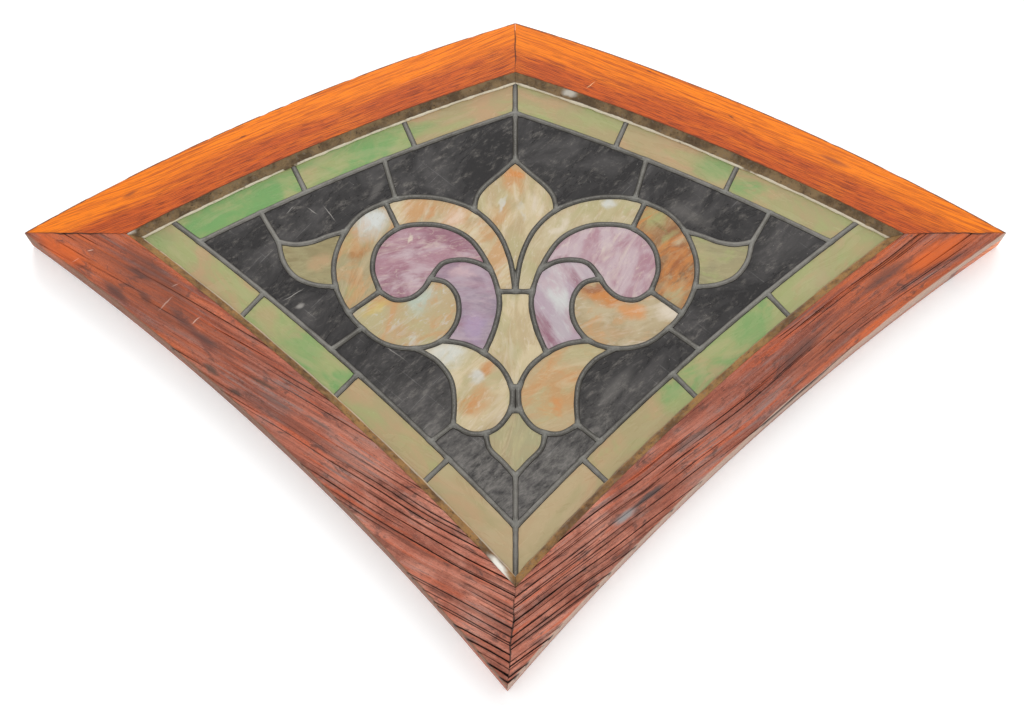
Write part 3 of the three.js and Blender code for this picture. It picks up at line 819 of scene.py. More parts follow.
bud_edge = leaf_edge(outlines["glass_bud"], LEAF_REACH)
reach = np.abs(bud_edge - outlines["glass_bud"])
print("the leaf reaches in over the bud by", reach.min().round(2), "mm or more")

# %% [markdown]
# Solder is run onto every joint and stands a little proud of the leaves. Each point of the lead asks how
# far it is from the nearest joint. It also asks how far it lies inside the sight line, because near the
# putty nothing may stand up.

# %% Joints and the sight line
joints = np.array([
    *(at(scroll, n) for n in ("heart", "bud", "top_field", "top_cut", "leaf_top", "leaf_foot", "low_cut")),
    *(at(scroll, n) for n in ("low_field", "lobe_side", "lobe", "curl_end")),
    *(at(inner, n) for n in ("start", "top_cut", "wave", "level", "lobe")),
    *(at(lobe, n) for n in ("near", "away", "low_bud", "corner")),
    *(at(inner_upper, n) for n in inner_upper[1]),
    *(at(inner_lower, n) for n in inner_lower[1]),
    at(leaf_upper, "tip"), at(bud_side, "tip"), at(low_bud_side, "tip"),
])  # fmt: skip
joints = np.concatenate([joints, -np.conj(joints)])


SOLDER_FULL, SOLDER_END = 2.2, 5.6


def solder_at(p):
    """How much of a point is solder: 1 near the middle of a joint, falling smoothly to 0 at its end."""
    away = np.abs(p.reshape(-1, 1) - joints).min(axis=1).reshape(p.shape)
    return 1 - smoothstep(SOLDER_FULL, SOLDER_END, away)


def inside_sight(p):
    """How far each point lies inside the sight line."""
    far = SWELL * (np.abs(p.reshape(-1, 1) - CENTRE) - RADIUS)
    return -far.max(axis=1).reshape(p.shape)


print("soldered joints:", len(joints))

# %% [markdown]
# One ring is one array: a row for each step of the section, and a column for each point of the outline.
# The crown is lifted into a soft dome, higher where there is solder, and noise makes the leaf's width and
# height wander as they do under a dresser's hand.


# %% Rings of came
DOME_LIFT, SOLDER_LIFT, LEAD_ROUGHNESS = 0.45, 0.5, 0.22


def came_ring(outline, partners, section):
    """Points of a ring, row by row of its section, and what each is: its share across and its solder.
    A point is outline + (partner - outline) share * width, and it stands at depth + dome * (lift + rough),
    where dome is the square root of 1 - share."""
    share, depth = section[:, :1], section[:, 1:]
    way = partners - outline
    solder = solder_at(outline)
    wide = 1 + 0.1 * solder + 0.10 * (noise(outline.real / 9, outline.imag / 9, 3) - 0.5)
    flat = outline + way * share * np.where(share > 0.3, wide, 1)
    front = smoothstep(GLASS_BACK, GLASS_FRONT, depth)
    clear = smoothstep(2, 7, inside_sight(flat))
    dome = np.clip(1 - share, 0, 1) ** 0.5
    lift = DOME_LIFT * clear * front + SOLDER_LIFT * solder * front * clear
    rough = LEAD_ROUGHNESS * (noise(flat.real / 5, flat.imag / 5, 5) - 0.5) * clear
    raised = depth + dome * (lift + rough * front)
    return flat, raised, np.broadcast_to(share, flat.shape), np.broadcast_to(solder, flat.shape)


ring = came_ring(outlines["glass_bud"], bud_edge, RING)
print("the ring round the bud:", ring[0].shape, "highest point at", ring[1].max().round(2))

# %% [markdown]
# The rings of all the glasses, one more outside the edge came, and a little solid lead where the two lobes
# touch, make the whole network. Welding joins them along their crowns. What each point is, share across
# and solder, stays with it for the finish to read.


# %% The network of lead
def lead_parts():
    """Every ring of the network: round each glass, outside the edge came, and between the two lobes."""
    for outline in outlines.values():
        yield came_ring(outline, leaf_edge(outline, LEAF_REACH), RING)
    half = np.concatenate([stretch(edge_lower, "bottom", "left"), stretch(edge_upper, "left", "top")])
    rim = chain(half, mirror(half))[::-1]
    yield came_ring(rim, leaf_edge(rim, CAME_HALF), OUTSIDE)
    valley = both_halves(stretch(lobe, "near", "away"))
    spine = 1j * np.clip(valley.imag, valley.imag.min() + 3, valley.imag.max() - 3)
    yield came_ring(valley, spine, VALLEY_FRONT)
    yield came_ring(valley, spine, VALLEY_BACK)


def lead_mesh():
    """All rings as one welded skin, with its share across the came and its solder kept on each point."""
    points, faces, across, solder, first = [], [], [], [], 0
    for flat, depth, share, joint in lead_parts():
        rows, columns = flat.shape
        points.append(stood_up(flat, depth))
        faces.append(grid_faces(rows, columns, first))
        across.append(share.ravel())
        solder.append(joint.ravel())
        first += rows * columns
    mesh = mesh_of("lead_cames_dressed", np.concatenate(points), np.concatenate(faces))
    values_on(mesh, "across", np.concatenate(across))
    values_on(mesh, "solder", np.concatenate(solder))
    return welded(mesh)


dressed_lead = lead_mesh()
print("points of the network:", len(dressed_lead.vertices))

# %% [markdown]
# ## Finish of the lead
# Lead goes dull grey in air. It is lighter along the crown, where it is rubbed and has a painted highlight,
# dusty out on the black ground, and darker in the ornament, and black cement is left along the leaves'
# edges. A plain metal would mirror the room, so this one is mostly matt, and its colour does the work.


# %% Finish of the lead
def lead_finish():
    """Dull grey lead, lighter along the crown (rubbed, and a painted highlight), black cement at the leaves'
    edges.
    """
    m, shader = finish("old lead", Metallic=0.35, Specular_IOR_Level=0.4)
    across, solder = stored(m, "across"), stored(m, "solder")
    patch = cloud(m, place(m, (60, 60, 60)), detail=4, roughness=0.6)
    fine = cloud(m, place(m, (500, 500, 500)), detail=3, roughness=0.7)
    where = node(m, "TexCoord", {}).outputs["Object"]
    away = node(m, "VectorMath", {0: where, 1: (0, -0.025, -0.28)}, operation="DISTANCE").outputs["Value"]
    bright = mixed(m, ranged(m, patch, 0.3, 0.7), tone(92, 89, 83), tone(124, 121, 115))
    dull = mixed(m, ranged(m, patch, 0.3, 0.7), tone(68, 65, 60), tone(94, 92, 86))
    grey = mixed(m, ranged(m, away, 0.16, 0.24), dull, bright)
    # Lighter along the crown: rubbed lead, and a painted highlight.
    rubbed_crown_and_highlight = sums(m, "MULTIPLY", ranged(m, across, 0.5, 0.0, 0.0, 0.6), ranged(m, fine, 0.3, 0.7))
    grey = mixed(m, rubbed_crown_and_highlight, grey, tone(142, 140, 134))
    grey = mixed(m, sums(m, "MULTIPLY", solder, 0.5), grey, tone(128, 127, 121))
    dark = ranged(m, sums(m, "ADD", across, sums(m, "MULTIPLY", fine, 0.16)), 0.84, 0.94)
    colour = mixed(m, dark, grey, tone(46, 42, 36))
    rough = ranged(m, patch, 0.2, 0.8, 0.42, 0.68)
    return finished(m, shader, colour, rough, fine, relief=0.0004, strength=0.5)


piece(dressed_lead, lead_finish(), "lead", "lead_cames", sharp_above=60)

# %% [markdown]
# ## Wood: boards cut to a curve
# Each member was sawn out of a straight board, so its grain doesn't bend with it. The same is done here: a
# board is a grid along and across the grain, with every crack and ridge as real depth, and the member is
# what it has in common with the curved bar. Its grid lines follow the grain, which keeps the cracks crisp.

# %% Solids carried between two rails
LIP_THICKNESS = 19


def carried(inside, outside, section):
    """A closed solid between two rails. The section is a loop of (share across, millimetres across, depth),
    and both its ends are flat. Points are inside + (outside - inside) share + unit millimetres."""
    way = outside - inside
    share, extra, depth = (section[..., i] for i in range(3))
    flat = inside[:, None] + way[:, None] * share + (way / np.abs(way))[:, None] * extra
    rows, columns = flat.shape
    depth = np.broadcast_to(depth, flat.shape)
    faces = [*grid_faces(rows, columns), np.arange(columns)[::-1], np.arange(columns) + (rows - 1) * columns]
    return stood_up(flat, depth), faces


def as_object(name, vertices, faces):
    """A working object whose faces point outwards."""
    mesh = mesh_of(name, vertices, faces)
    made = bpy.data.objects.new(name, welded(mesh, outward=True))
    bpy.context.collection.objects.link(made)
    return made


def combined(a, b, operation):
    """Two working solids joined or cut against each other. The second is thrown away."""
    change = a.modifiers.new("change", "BOOLEAN")
    change.operation, change.solver, change.object = operation, "MANIFOLD", b
    result = bpy.data.meshes.new_from_object(a.evaluated_get(bpy.context.evaluated_depsgraph_get()))
    a.modifiers.remove(change)
    a.data = result
    bpy.data.objects.remove(b)
    return a


print("the front of a member is", FRAME_THICKNESS - LIP_THICKNESS, "mm thick, over a lip of", LIP_THICKNESS)

# %% [markdown]
# Seen from the front, a member is a curved bar, mitred at both ends, with a slightly rounded outer edge
# that has been knocked here and there. Its section is carried along the two arcs, and the radius of that
# edge changes from station to station.


# %% Front of a member
def worn_radius(k, share):
    """Radius of the outer arris along a member, in millimetres: 0.8 + 0.5 noise + 1.6 where it is bruised."""
    bruise = smoothstep(0.62, 0.95, noise(share * 45, np.full_like(share, k * 7.3), 21))
    return 0.8 + 0.5 * noise(share * 12, np.full_like(share, k * 3.1), 22) + 1.6 * bruise


SPARE = 0.3
FRONT_STATIONS, BACK_STATIONS = 260, 110
BEVEL_FOOT, BEVEL_WIDTH = 34.4, 0.9


def front_bar(k):
    """The part of a member in front of the lip, mitred at both ends. Its section rises from the lip to the
    face, is rounded by a quarter circle at the outer arris, and goes down again. The face has some wood to
    spare, which the board takes off."""
    share = np.linspace(0.0002, 0.9998, FRONT_STATIONS)
    inside, outside = kite_edge(REBATE, k, share), kite_edge(OUTER, k, share)
    r = worn_radius(k, share)[:, None]
    top = FRAME_THICKNESS + SPARE
    none, one = np.zeros_like(r), np.ones_like(r)
    columns = [(none, none, LIP_THICKNESS * one), (none, none, BEVEL_FOOT * one)]
    columns += [(none, BEVEL_WIDTH * one, top * one)]
    columns += [
        (one, r * (np.sin(t) - 1), top - r + r * np.cos(t) - SPARE * np.sin(t))
        for t in np.linspace(0, np.pi / 2, 7)
    ]
    columns += [(one, none, LIP_THICKNESS * one)]
    section = np.stack([np.concatenate(part, axis=1) for part in zip(*columns)], axis=-1)
    return as_object("front", *carried(inside, outside, section))


print("the outer arris is worn to a radius of", worn_radius(0, np.linspace(0, 1, 99)).max().round(2), "mm")

# %% [markdown]
# Behind the mitre the corners are halved: at each corner one member runs through, and the next butts
# against it. So the back of a member is another bar, a little longer at one end, and the two bars are
# joined into one solid.


# %% Back of a member
def ray_to_circle(start, direction, centre, radius):
    """Where a ray first meets a circle: the roots of its distance to the centre, the nearest one ahead."""
    away = start - centre
    b = np.real(away * np.conj(direction))
    root = np.sqrt(b**2 - abs(away) ** 2 + radius**2)
    steps = np.array([-b - root, -b + root])
    return start + direction * steps[np.argmin(np.where(steps > -1, steps, np.inf))]


def way_out(k):
    """The direction in which one sight edge leaves its far corner."""
    arm = SIGHT[(k + 1) % 4] - CENTRE[k]
    return -SWELL[k] * 1j * arm / abs(arm)


JOINT_GAP = 0.3


def back_bar(k):
    """The part of a member beside the lip. It butts against the member before it, and at its far end runs
    through to the next side."""
    before, after = (k + 3) % 4, (k + 1) % 4
    arm = SIGHT[k] - CENTRE[before]
    butt = SIGHT[k] - JOINT_GAP * SWELL[before] * arm / abs(arm)
    start_outside = ray_to_circle(butt, way_out(before), OUTER_CENTRE[k], OUTER[1][k])
    start_inside = ray_to_circle(butt, way_out(before), CENTRE[k], RADIUS[k])
    end_inside = ray_to_circle(SIGHT[after], way_out(k), OUTER_CENTRE[after], OUTER[1][after])
    along = arc(start_inside, SIGHT[after], RADIUS[k], SWELL[k], np.linspace(0, 1, BACK_STATIONS))
    inside = np.concatenate([along, bar(SIGHT[after], end_inside)[1:]])
    share = np.linspace(0, 1, len(inside))
    outside = arc(start_outside, OUTER[0][after], OUTER[1][k], SWELL[k], share)
    section = np.array([
        (0, 0, LIP_THICKNESS), (1, 0, LIP_THICKNESS), (1, 0, 0.7), (1, -0.7, 0), (0, 0.7, 0), (0, 0, 0.7)
    ])  # fmt: skip
    return as_object("back", *carried(inside, outside, section))


print("gap at the halved joints:", JOINT_GAP, "mm")

# %% [markdown]
# The lower members have lost most of their finish. Rain has opened long cracks, widest where they come out
# at the bottom mitre, and left the hard rings standing. The upper ones are still smooth under varnish, with
# a few nicks. All of it follows the grain, which runs nearly straight along a board, with a slow wander.


# %% The grain of a board
class Board:
    """A board's grain: where it starts, which way it runs, and how its surface is worn."""

    def __init__(self, k, grain, weathered):
        self.k, self.weathered = k, weathered
        corners = np.array([REBATE[0][k], OUTER[0][k], OUTER[0][(k + 1) % 4], REBATE[0][(k + 1) % 4]])
        self.origin = corners.mean()
        self.turn = np.exp(1j * math.radians(grain))
        self.spots = (corners - self.origin) / self.turn
        self.rng = np.random.default_rng(40 + k)

    def wander(self, s, t):
        """How far the grain strays sideways, in millimetres, in waves a hand or two long."""
        slow = noise(s / 170 + 9, t / 90 + 9, 50 + self.k) - 0.5
        quick = noise(s / 60 + 9, t / 25 + 9, 60 + self.k) - 0.5
        return 9 * slow + 2.2 * quick

    def grain_of(self, p):
        """Along and across the grain for points of the drawing, with the wander taken out in three goes."""
        local = (p - self.origin) / self.turn
        s, t = local.real, local.imag
        for _ in range(3):
            t = local.imag - self.wander(s, t)
        return s, t

    def point_of(self, s, t):
        """The drawing's point for a place along and across the grain."""
        return self.origin + (s + 1j * (t + self.wander(s, t))) * self.turn


trial = Board(0, 25, False)
print("corners of the first board, along and across its grain:", trial.spots.round().tolist())

# %% [markdown]
# Each crack is a V along the grain, and its half width grows from nothing to its open end. It is a row of
# numbers, drawn at random from the board's own seed, and the depth at every point of a board is worked out
# for one crack after another.


# %% Cracks
CRACK_SPACING = 6.0
SHORT_CRACKS = 120
NICKS = 9


def crack_list(board):
    """Cracks of a board: place across, start, end, width and depth, all in millimetres, and whether the end
    lies open at the mitre."""
    spots, rng = board.spots, board.rng
    low, high = spots.imag.min() - 6, spots.imag.max() + 6
    first, last = spots.real.min(), spots.real.max()
    cracks = []
    if board.weathered:
        end = last + 20
        for t in np.arange(low, high, CRACK_SPACING):
            across = t + rng.uniform(-2.2, 2.2)
            length = rng.uniform(90, 480)
            cracks.append((across, end - length, end, rng.uniform(0.8, 2.7), rng.uniform(1.2, 3.4), True))
        for _ in range(SHORT_CRACKS):
            start = rng.uniform(first - 60, last)
            length = rng.uniform(40, 230)
            across = rng.uniform(low, high)
            cracks.append((across, start, start + length, rng.uniform(0.4, 1.4), rng.uniform(0.5, 1.8), False))
    else:
        for _ in range(NICKS):
            start = rng.uniform(first, last)
            across = rng.uniform(low, high)
            length = rng.uniform(15, 60)
            cracks.append((across, start, start + length, rng.uniform(0.4, 0.7), rng.uniform(0.2, 0.5), False))
    return cracks


def crack_depth(board, s, t):
    """Depth of the cracks: on each, depth times taper times 1 - |t - its place across| / half width."""
    depth = np.zeros_like(s)
    for across, start, end, width, deep, open_end in board.cracks:
        share = np.clip((s - start) / (end - start), 0, 1)
        taper = share**0.55 if open_end else np.sin(np.pi * share) ** 0.7
        ragged = 1 + 0.5 * (noise(s / 7, np.full_like(s, across), 71) - 0.5)
        half = np.maximum(width / 2 * taper * ragged, 1e-6)
        side = np.clip(1 - np.abs(t - across) / half, 0, 1)
        depth = np.maximum(depth, deep * taper * side**0.8 * (share > 0) * (share < 1))
    return depth


boards = [Board(0, 25, False), Board(1, -25, False), Board(2, 218, True), Board(3, -31, True)]
for board in boards:
    board.cracks = crack_list(board)
print("boards:", len(boards), "cracks:", [len(board.cracks) for board in boards])

# %% [markdown]
# Between the hard rings the soft wood has worn away. Bands of noise, drawn out along the grain, give that
# relief. The board itself is a closed slab whose front is lowered by the cracks and the bands, and its
# grid is finer across the grain than along it, because that is where the detail is.


# %% Ridges and the slab of a board
ALONG_STEP = 4.5
RIDGES = {True: 0.55, False: 0.05}


def ridge_depth(board, s, t):
    """Depth between the hard rings: the most there is, times 0.65 broad bands + 0.35 fine ones, which are
    noise drawn out along the grain."""
    broad = noise(s / 140, t / 3.1, 81 + board.k)
    fine = noise(s / 60, t / 1.1, 91 + board.k)
    return RIDGES[board.weathered] * (0.65 * smoothstep(0.25, 0.85, broad) + 0.35 * fine)


def board_object(board, member):
    """The board that a member is cut from: its worn face in front, a planed one behind, straight sides."""
    s, t = board.grain_of(drawn_points(member.data)[0])
    across_step = 0.42 if board.weathered else 0.8
    s = np.arange(s.min() - 9, s.max() + 9, ALONG_STEP)
    t = np.arange(t.min() - 12, t.max() + 12, across_step)
    s, t = np.meshgrid(s, t)
    front = FRAME_THICKNESS - 0.02 - crack_depth(board, s, t) - ridge_depth(board, s, t)
    back = 0.05 + 0.12 * noise(s / 50, t / 1.6, 95)
    flat = board.point_of(s, t)
    rows, columns = s.shape
    count = rows * columns
    corner = np.arange(count).reshape(rows, columns)
    rim = np.concatenate([corner[0, :-1], corner[:-1, -1], corner[-1, :0:-1], corner[:0:-1, 0]])
    ahead = np.roll(rim, -1)
    faces = np.concatenate([
        grid_faces(rows, columns, closed=False),
        grid_faces(rows, columns, count, closed=False)[:, ::-1],
        np.stack([rim, rim + count, ahead + count, ahead], axis=1),
    ])  # fmt: skip
    points = np.concatenate([stood_up(flat, front), stood_up(flat, back)])
    return as_object("board", points, faces)


middle_s, middle_t = boards[3].grain_of(np.array([(REBATE[0][3] + OUTER[0][3]) / 2]))
print("at the left corner the hollow is", ridge_depth(boards[3], middle_s, middle_t), "mm of", RIDGES[True])

# %% [markdown]
# Now a member can be cut from its board: what the curved solid and the slab have in common. Everything
# that the finish will ask for is stored on its points: how deep the crack or hollow is, how far out and
# how far along they are, and the grain as a UV map. The growth rings lean through the thickness, so that
# the sides have grain of their own.


# %% Members cut from their boards
RING_LEAN = 1.0
FRONT_FACE = 28


def member_mesh(board):
    """A member: its front and back bars joined, then cut out of its board, with the grain stored on it."""
    member = combined(front_bar(board.k), back_bar(board.k), "UNION")
    member = combined(member, board_object(board, member), "INTERSECT")
    mesh = member.data
    mesh.name = "wood_" + SIDE_NAMES[board.k]
    bpy.data.objects.remove(member)
    p, depth = drawn_points(mesh)
    s, t = board.grain_of(p)
    face = (depth > FRONT_FACE).astype(float)
    crack = crack_depth(board, s, t)
    # The crack's depth, kept for the finishes to paint shade into the cracks and nicks.
    values_on(mesh, "crack", face * smoothstep(0.15, 1.1, crack))
    # How deep the hollows are, kept for the weathered finish to paint shade into them.
    values_on(mesh, "hollow", face * ridge_depth(board, s, t) / RIDGES[True])
    from_inside = SWELL[board.k] * (np.abs(p - CENTRE[board.k]) - RADIUS[board.k]) - REBATE_WIDTH
    from_outside = SWELL[board.k] * (OUTER[1][board.k] - np.abs(p - OUTER_CENTRE[board.k]))
    values_on(mesh, "outwards", from_inside / (from_inside + from_outside))
    values_on(mesh, "end", smoothstep(0, 1, (s - board.spots.real.min()) / np.ptp(board.spots.real)))
    values_on(mesh, "depth", depth / FRAME_THICKNESS)
    grain = mesh.uv_layers.new(name="grain")
    corner = np.empty(len(mesh.loops), np.int32)
    mesh.loops.foreach_get("vertex_index", corner)
    rings = t + RING_LEAN * (depth - FRAME_THICKNESS)
    grain.data.foreach_set("uv", np.stack([s, rings], axis=1)[corner].ravel().astype(np.float32) / 1000)
    return mesh


members = [member_mesh(board) for board in boards]
print("points of the members:", [len(mesh.vertices) for mesh in members])

# %% [markdown]
# ## Finish of the wood
# The grain is stored on the wood as a UV map, along and across, so streaks follow every turn of it. The
# varnish has gone yellow towards the outer edge and red towards the glass. On the lower members only a pink
# stain is left, with grey where the surface is oldest and painted shade, black deep in the cracks.


# %% Grain and mitres
def grain_place(m, scale):
    """Places along and across the grain, stretched."""
    uv = node(m, "UVMap", {}, uv_map="grain").outputs[0]
    return node(m, "Mapping", {"Vector": uv, "Scale": (*scale, 1)}).outputs[0]


def mitre_marks(width, dirt):
    """A dark line along each mitre, from the rebate's corner to the outer one."""
    middle, half = (REBATE[0] + OUTER[0]) / 2, (OUTER[0] - REBATE[0]) / 2
    lines = zip(middle, np.abs(half) * 1.3, np.degrees(np.angle(half)))
    return [(m.real, m.imag, long, width, angle, dirt, 0.9) for m, long, angle in lines]


print("mitre lines are", [round(mark[2]) for mark in mitre_marks(1, None)], "mm to each side")

# %% [markdown]
# The upper members still have their varnish. It is orange at the outer edge, redder and full of fine dark
# grain towards the glass, with a dark line along the rim, some nicks, and a dark hairline in each mitre.


# %% Orange varnish
def varnish_finish():
    """Glossy orange varnish over fine grain, red inside, yellow outside, dark at the rim and in nicks."""
    m, shader = finish("orange varnish", Coat_Weight=0.12, Coat_Roughness=0.15, Specular_IOR_Level=0.25)
    streak = cloud(m, grain_place(m, (11, 330)), detail=6, roughness=0.65)
    band = cloud(m, grain_place(m, (3, 50)), detail=3)
    thread = cloud(m, grain_place(m, (40, 1300)), detail=3, roughness=0.65)
    patch = cloud(m, place(m, (11, 11, 11)), detail=4)
    nick = cloud(m, grain_place(m, (150, 420)), detail=2)
    outwards = stored(m, "outwards")
    side = sums(m, "ADD", outwards, sums(m, "MULTIPLY", sums(m, "SUBTRACT", band, 0.5), 1.3))
    colour = mixed(m, ranged(m, side, 0.2, 0.8), tone(192, 84, 22), tone(240, 126, 4))
    colour = mixed(m, ranged(m, patch, 0.45, 0.75, 0.0, 0.5), colour, tone(234, 126, 18))
    colour = mixed(m, ranged(m, streak, 0.44, 0.66, 0.0, 0.7), colour, tone(158, 62, 16))
    inner = sums(m, "MULTIPLY", ranged(m, thread, 0.48, 0.6), ranged(m, side, 0.8, 0.2, 0.35, 0.95))
    colour = mixed(m, inner, colour, tone(118, 46, 18))
    colour = mixed(m, ranged(m, nick, 0.76, 0.82, 0.0, 0.8), colour, tone(70, 36, 24))
    rim = ranged(m, sums(m, "ADD", outwards, sums(m, "MULTIPLY", nick, 0.03)), 0.985, 1.0)
    rim = sums(m, "MULTIPLY", rim, ranged(m, stored(m, "depth"), 0.9, 0.97))
    colour = mixed(m, rim, colour, tone(84, 46, 28))
    foot = ranged(m, sums(m, "ADD", outwards, sums(m, "MULTIPLY", nick, 0.05)), 0.05, 0.02)
    colour = mixed(m, sums(m, "MULTIPLY", foot, 0.8), colour, tone(92, 52, 34))
    # Painted shade: darker where a nick is cut deeper.
    colour = mixed(m, stored(m, "crack"), colour, tone(50, 28, 20))
    colour = blots(m, colour, [
        (84, 245, 9, 0.7, 40, tone(236, 190, 140), 0.8), (-300, 180, 6, 1.4, 25, tone(70, 38, 26), 0.8),
        (240, 205, 5, 1.2, -30, tone(70, 38, 26), 0.8), (350, 150, 26, 5, -28, tone(130, 60, 40), 0.6),
        (150, 262, 4, 1.0, -20, tone(60, 34, 24), 0.8), (-420, 110, 12, 3, 30, tone(110, 50, 30), 0.6),
        *mitre_marks(1.3, tone(70, 38, 26)),
    ], wobble=4)  # fmt: skip
    rough = ranged(m, streak, 0.3, 0.7, 0.3, 0.5)
    return finished(m, shader, colour, rough, thread, relief=0.0003, strength=0.6)


varnish = varnish_finish()
print("nodes in the varnish:", len(varnish.node_tree.nodes))

# %% [markdown]
# Some marks on the lower members catch the eye at once and have places of their own: pale scratches, a
# silvery patch that is rubbed bare, orange rests of varnish at the side corners, and dark ragged stains.

# %% Marks on the lower members
PALE, SILVER, SOOT = tone(226, 190, 172), tone(142, 136, 134), tone(74, 66, 58)
WEAR = [
    (-472, 32, 6, 0.8, 30, PALE, 0.8), (-372, -18, 13, 1.3, 52, PALE, 0.8), (-363, 3, 5, 1.1, 40, PALE, 0.8),
    (-457, 43, 4, 0.8, 30, PALE, 0.8), (-339, -37, 8, 0.9, 46, PALE, 0.7),
    (135, -229, 34, 4.5, 38, tone(78, 68, 66), 0.9), (111, -250, 20, 6, 36, SILVER, 1.0),
    (-205, -150, 30, 2.2, -31, tone(96, 84, 78), 0.7), (-489, 43, 46, 13, -30, tone(204, 92, 30), 0.7),
    (452, 40, 62, 14, 32, tone(208, 96, 34), 0.75), (-383, 17, 66, 12, -42, tone(98, 60, 48), 0.6),
    (-319, -92, 16, 4.5, -35, SOOT, 0.75), (-261, -108, 26, 4, -28, SOOT, 0.65),
    (-291, -118, 12, 3.5, -30, tone(70, 60, 54), 0.7), (-330, -60, 30, 5, -40, tone(104, 54, 44), 0.6),
    (-395, 2, 105, 38, -39, tone(104, 60, 48), 0.5), (-426, -4, 26, 8, -40, tone(74, 52, 48), 0.75),
    (-402, 16, 22, 6, -32, tone(80, 54, 48), 0.7), (-394, -10, 16, 5, -46, tone(80, 54, 48), 0.7),
    (-352, -36, 28, 6, -42, tone(88, 58, 52), 0.65), (-328, -58, 24, 5, -34, tone(84, 58, 52), 0.65),
    (396, 14, 46, 12, 34, tone(92, 62, 54), 0.7), (300, -70, 40, 9, 40, tone(92, 66, 60), 0.6),
    (-250, -128, 34, 5, -32, tone(104, 84, 78), 0.6), (180, -170, 34, 5, 40, tone(110, 92, 86), 0.6),
]  # fmt: skip
print("marks on the lower members:", len(WEAR))

# %% [markdown]
# The rest of the lower members is worn to pink and red-brown. Streaks, bands and pores all follow the grain,
# and each has its own width. Orange is left near the side corners, and grey lies on the oldest ridges.


# %% Weathered stain
def weathered_finish(name, arris):
    """Worn stain: pink and red-brown streaks, dark blotches and open pores, grey on the oldest ridges, and
    orange where varnish is left near the side corners. The outer arris has a colour of its own."""
    m, shader = finish(name, Specular_IOR_Level=0.3)
    streak = cloud(m, grain_place(m, (9, 240)), detail=6, roughness=0.68)
    band = cloud(m, grain_place(m, (5, 60)), detail=4, roughness=0.65)
    thread = cloud(m, grain_place(m, (30, 1200)), detail=4, roughness=0.7)
    pore = cloud(m, grain_place(m, (260, 2300)), detail=2, roughness=0.6)
    patch = cloud(m, place(m, (17, 17, 17)), detail=5, roughness=0.65)
    blotch = cloud(m, grain_place(m, (38, 100)), detail=5, roughness=0.7, distortion=0.8)
    colour = mixed(m, ranged(m, band, 0.38, 0.62), tone(138, 74, 56), tone(178, 104, 82))
    colour = mixed(m, ranged(m, streak, 0.5, 0.68, 0.0, 0.8), colour, tone(108, 60, 48))
    low = ranged(m, stored(m, "end"), 0.45, 0.9)
    pink = sums(m, "MULTIPLY", low, ranged(m, patch, 0.35, 0.65))
    colour = mixed(m, sums(m, "MULTIPLY", pink, 0.8), colour, tone(216, 146, 123))
    grey = sums(m, "MULTIPLY", ranged(m, streak, 0.54, 0.38), ranged(m, patch, 0.38, 0.6))
    colour = mixed(m, sums(m, "MULTIPLY", grey, 0.85), colour, tone(132, 112, 106))
    flame = cloud(m, grain_place(m, (4, 130)), detail=4, roughness=0.65)
    colour = mixed(m, ranged(m, flame, 0.52, 0.66, 0.0, 0.7), colour, tone(190, 88, 50))
    fresh = sums(m, "MULTIPLY", ranged(m, stored(m, "end"), 0.5, 0.06), ranged(m, band, 0.35, 0.6))
    colour = mixed(m, sums(m, "MULTIPLY", fresh, 0.85), colour, tone(194, 92, 40))
    colour = mixed(m, ranged(m, blotch, 0.52, 0.68, 0.0, 0.75), colour, tone(86, 60, 54))
    colour = mixed(m, ranged(m, thread, 0.52, 0.68, 0.0, 0.68), colour, tone(78, 44, 36))
    flake = cloud(m, grain_place(m, (330, 1500)), detail=3, roughness=0.7)
    colour = mixed(m, ranged(m, flake, 0.56, 0.72, 0.0, 0.55), colour, tone(212, 150, 126))
    colour = mixed(m, ranged(m, pore, 0.58, 0.7, 0.0, 0.85), colour, tone(58, 34, 29))
    # Painted shade: darker where the soft wood between the hard rings is worn deepest.
    colour = mixed(m, ranged(m, stored(m, "hollow"), 0.4, 0.95, 0.0, 0.4), colour, tone(96, 56, 44))
    edge = sums(m, "ADD", stored(m, "outwards"), sums(m, "MULTIPLY", sums(m, "SUBTRACT", patch, 0.5), 0.06))
    higher = ranged(m, stored(m, "depth"), 0.1, 0.45, 0.3, 0.85)
    colour = mixed(m, sums(m, "MULTIPLY", ranged(m, edge, 0.975, 0.99), higher), colour, arris)
    # Painted shade: black by the depth of the cracks.
    colour = mixed(m, stored(m, "crack"), colour, tone(42, 26, 22))
    colour = blots(m, colour, [*WEAR, *mitre_marks(1.4, tone(52, 36, 30))], wobble=7)
    rough = ranged(m, streak, 0.3, 0.7, 0.5, 0.8)
    return finished(m, shader, colour, rough, thread, relief=0.0007, strength=0.8)


stained = {
    2: weathered_finish("weathered stain, pale arris", tone(182, 158, 142)),
    3: weathered_finish("weathered stain, dark arris", tone(120, 88, 68)),
}
print("nodes in a weathered stain:", len(stained[2].node_tree.nodes))

# %% [markdown]
# The four members get their finishes and stand for their solids. The two weathered ones differ only in the
# colour of the worn outer arris, which is pale on the right and dark on the left.

# %% The frame
for board in boards:
    worn = (stained.get(board.k), "weathered_wood")
    material, slot = worn if board.weathered else (varnish, "varnished_wood")
    piece(members[board.k], material, slot, "frame_" + SIDE_NAMES[board.k], sharp_above=50)

# %% [markdown]
# ## Putty
# Linseed putty was pressed into the rebate with a knife and has dried hard, so its slope is lumpy and its
# toe wanders over the glass. It is a section carried along each edge, as the wood is, with noise on its
# upper face. It needs no board, because it was never cut.


# %% Putty fillets
PUTTY_STEPS = 420
PUTTY_SLOPE = np.linspace(0, 1, 13)
PUTTY_LENGTH = 500
PUTTY_FLOOR, ABOVE_CAME, PUTTY_TOP = 24.06, 25.75, 34.7
TOE_HEIGHT, SLOPE_RISE = 25.9, 8.7


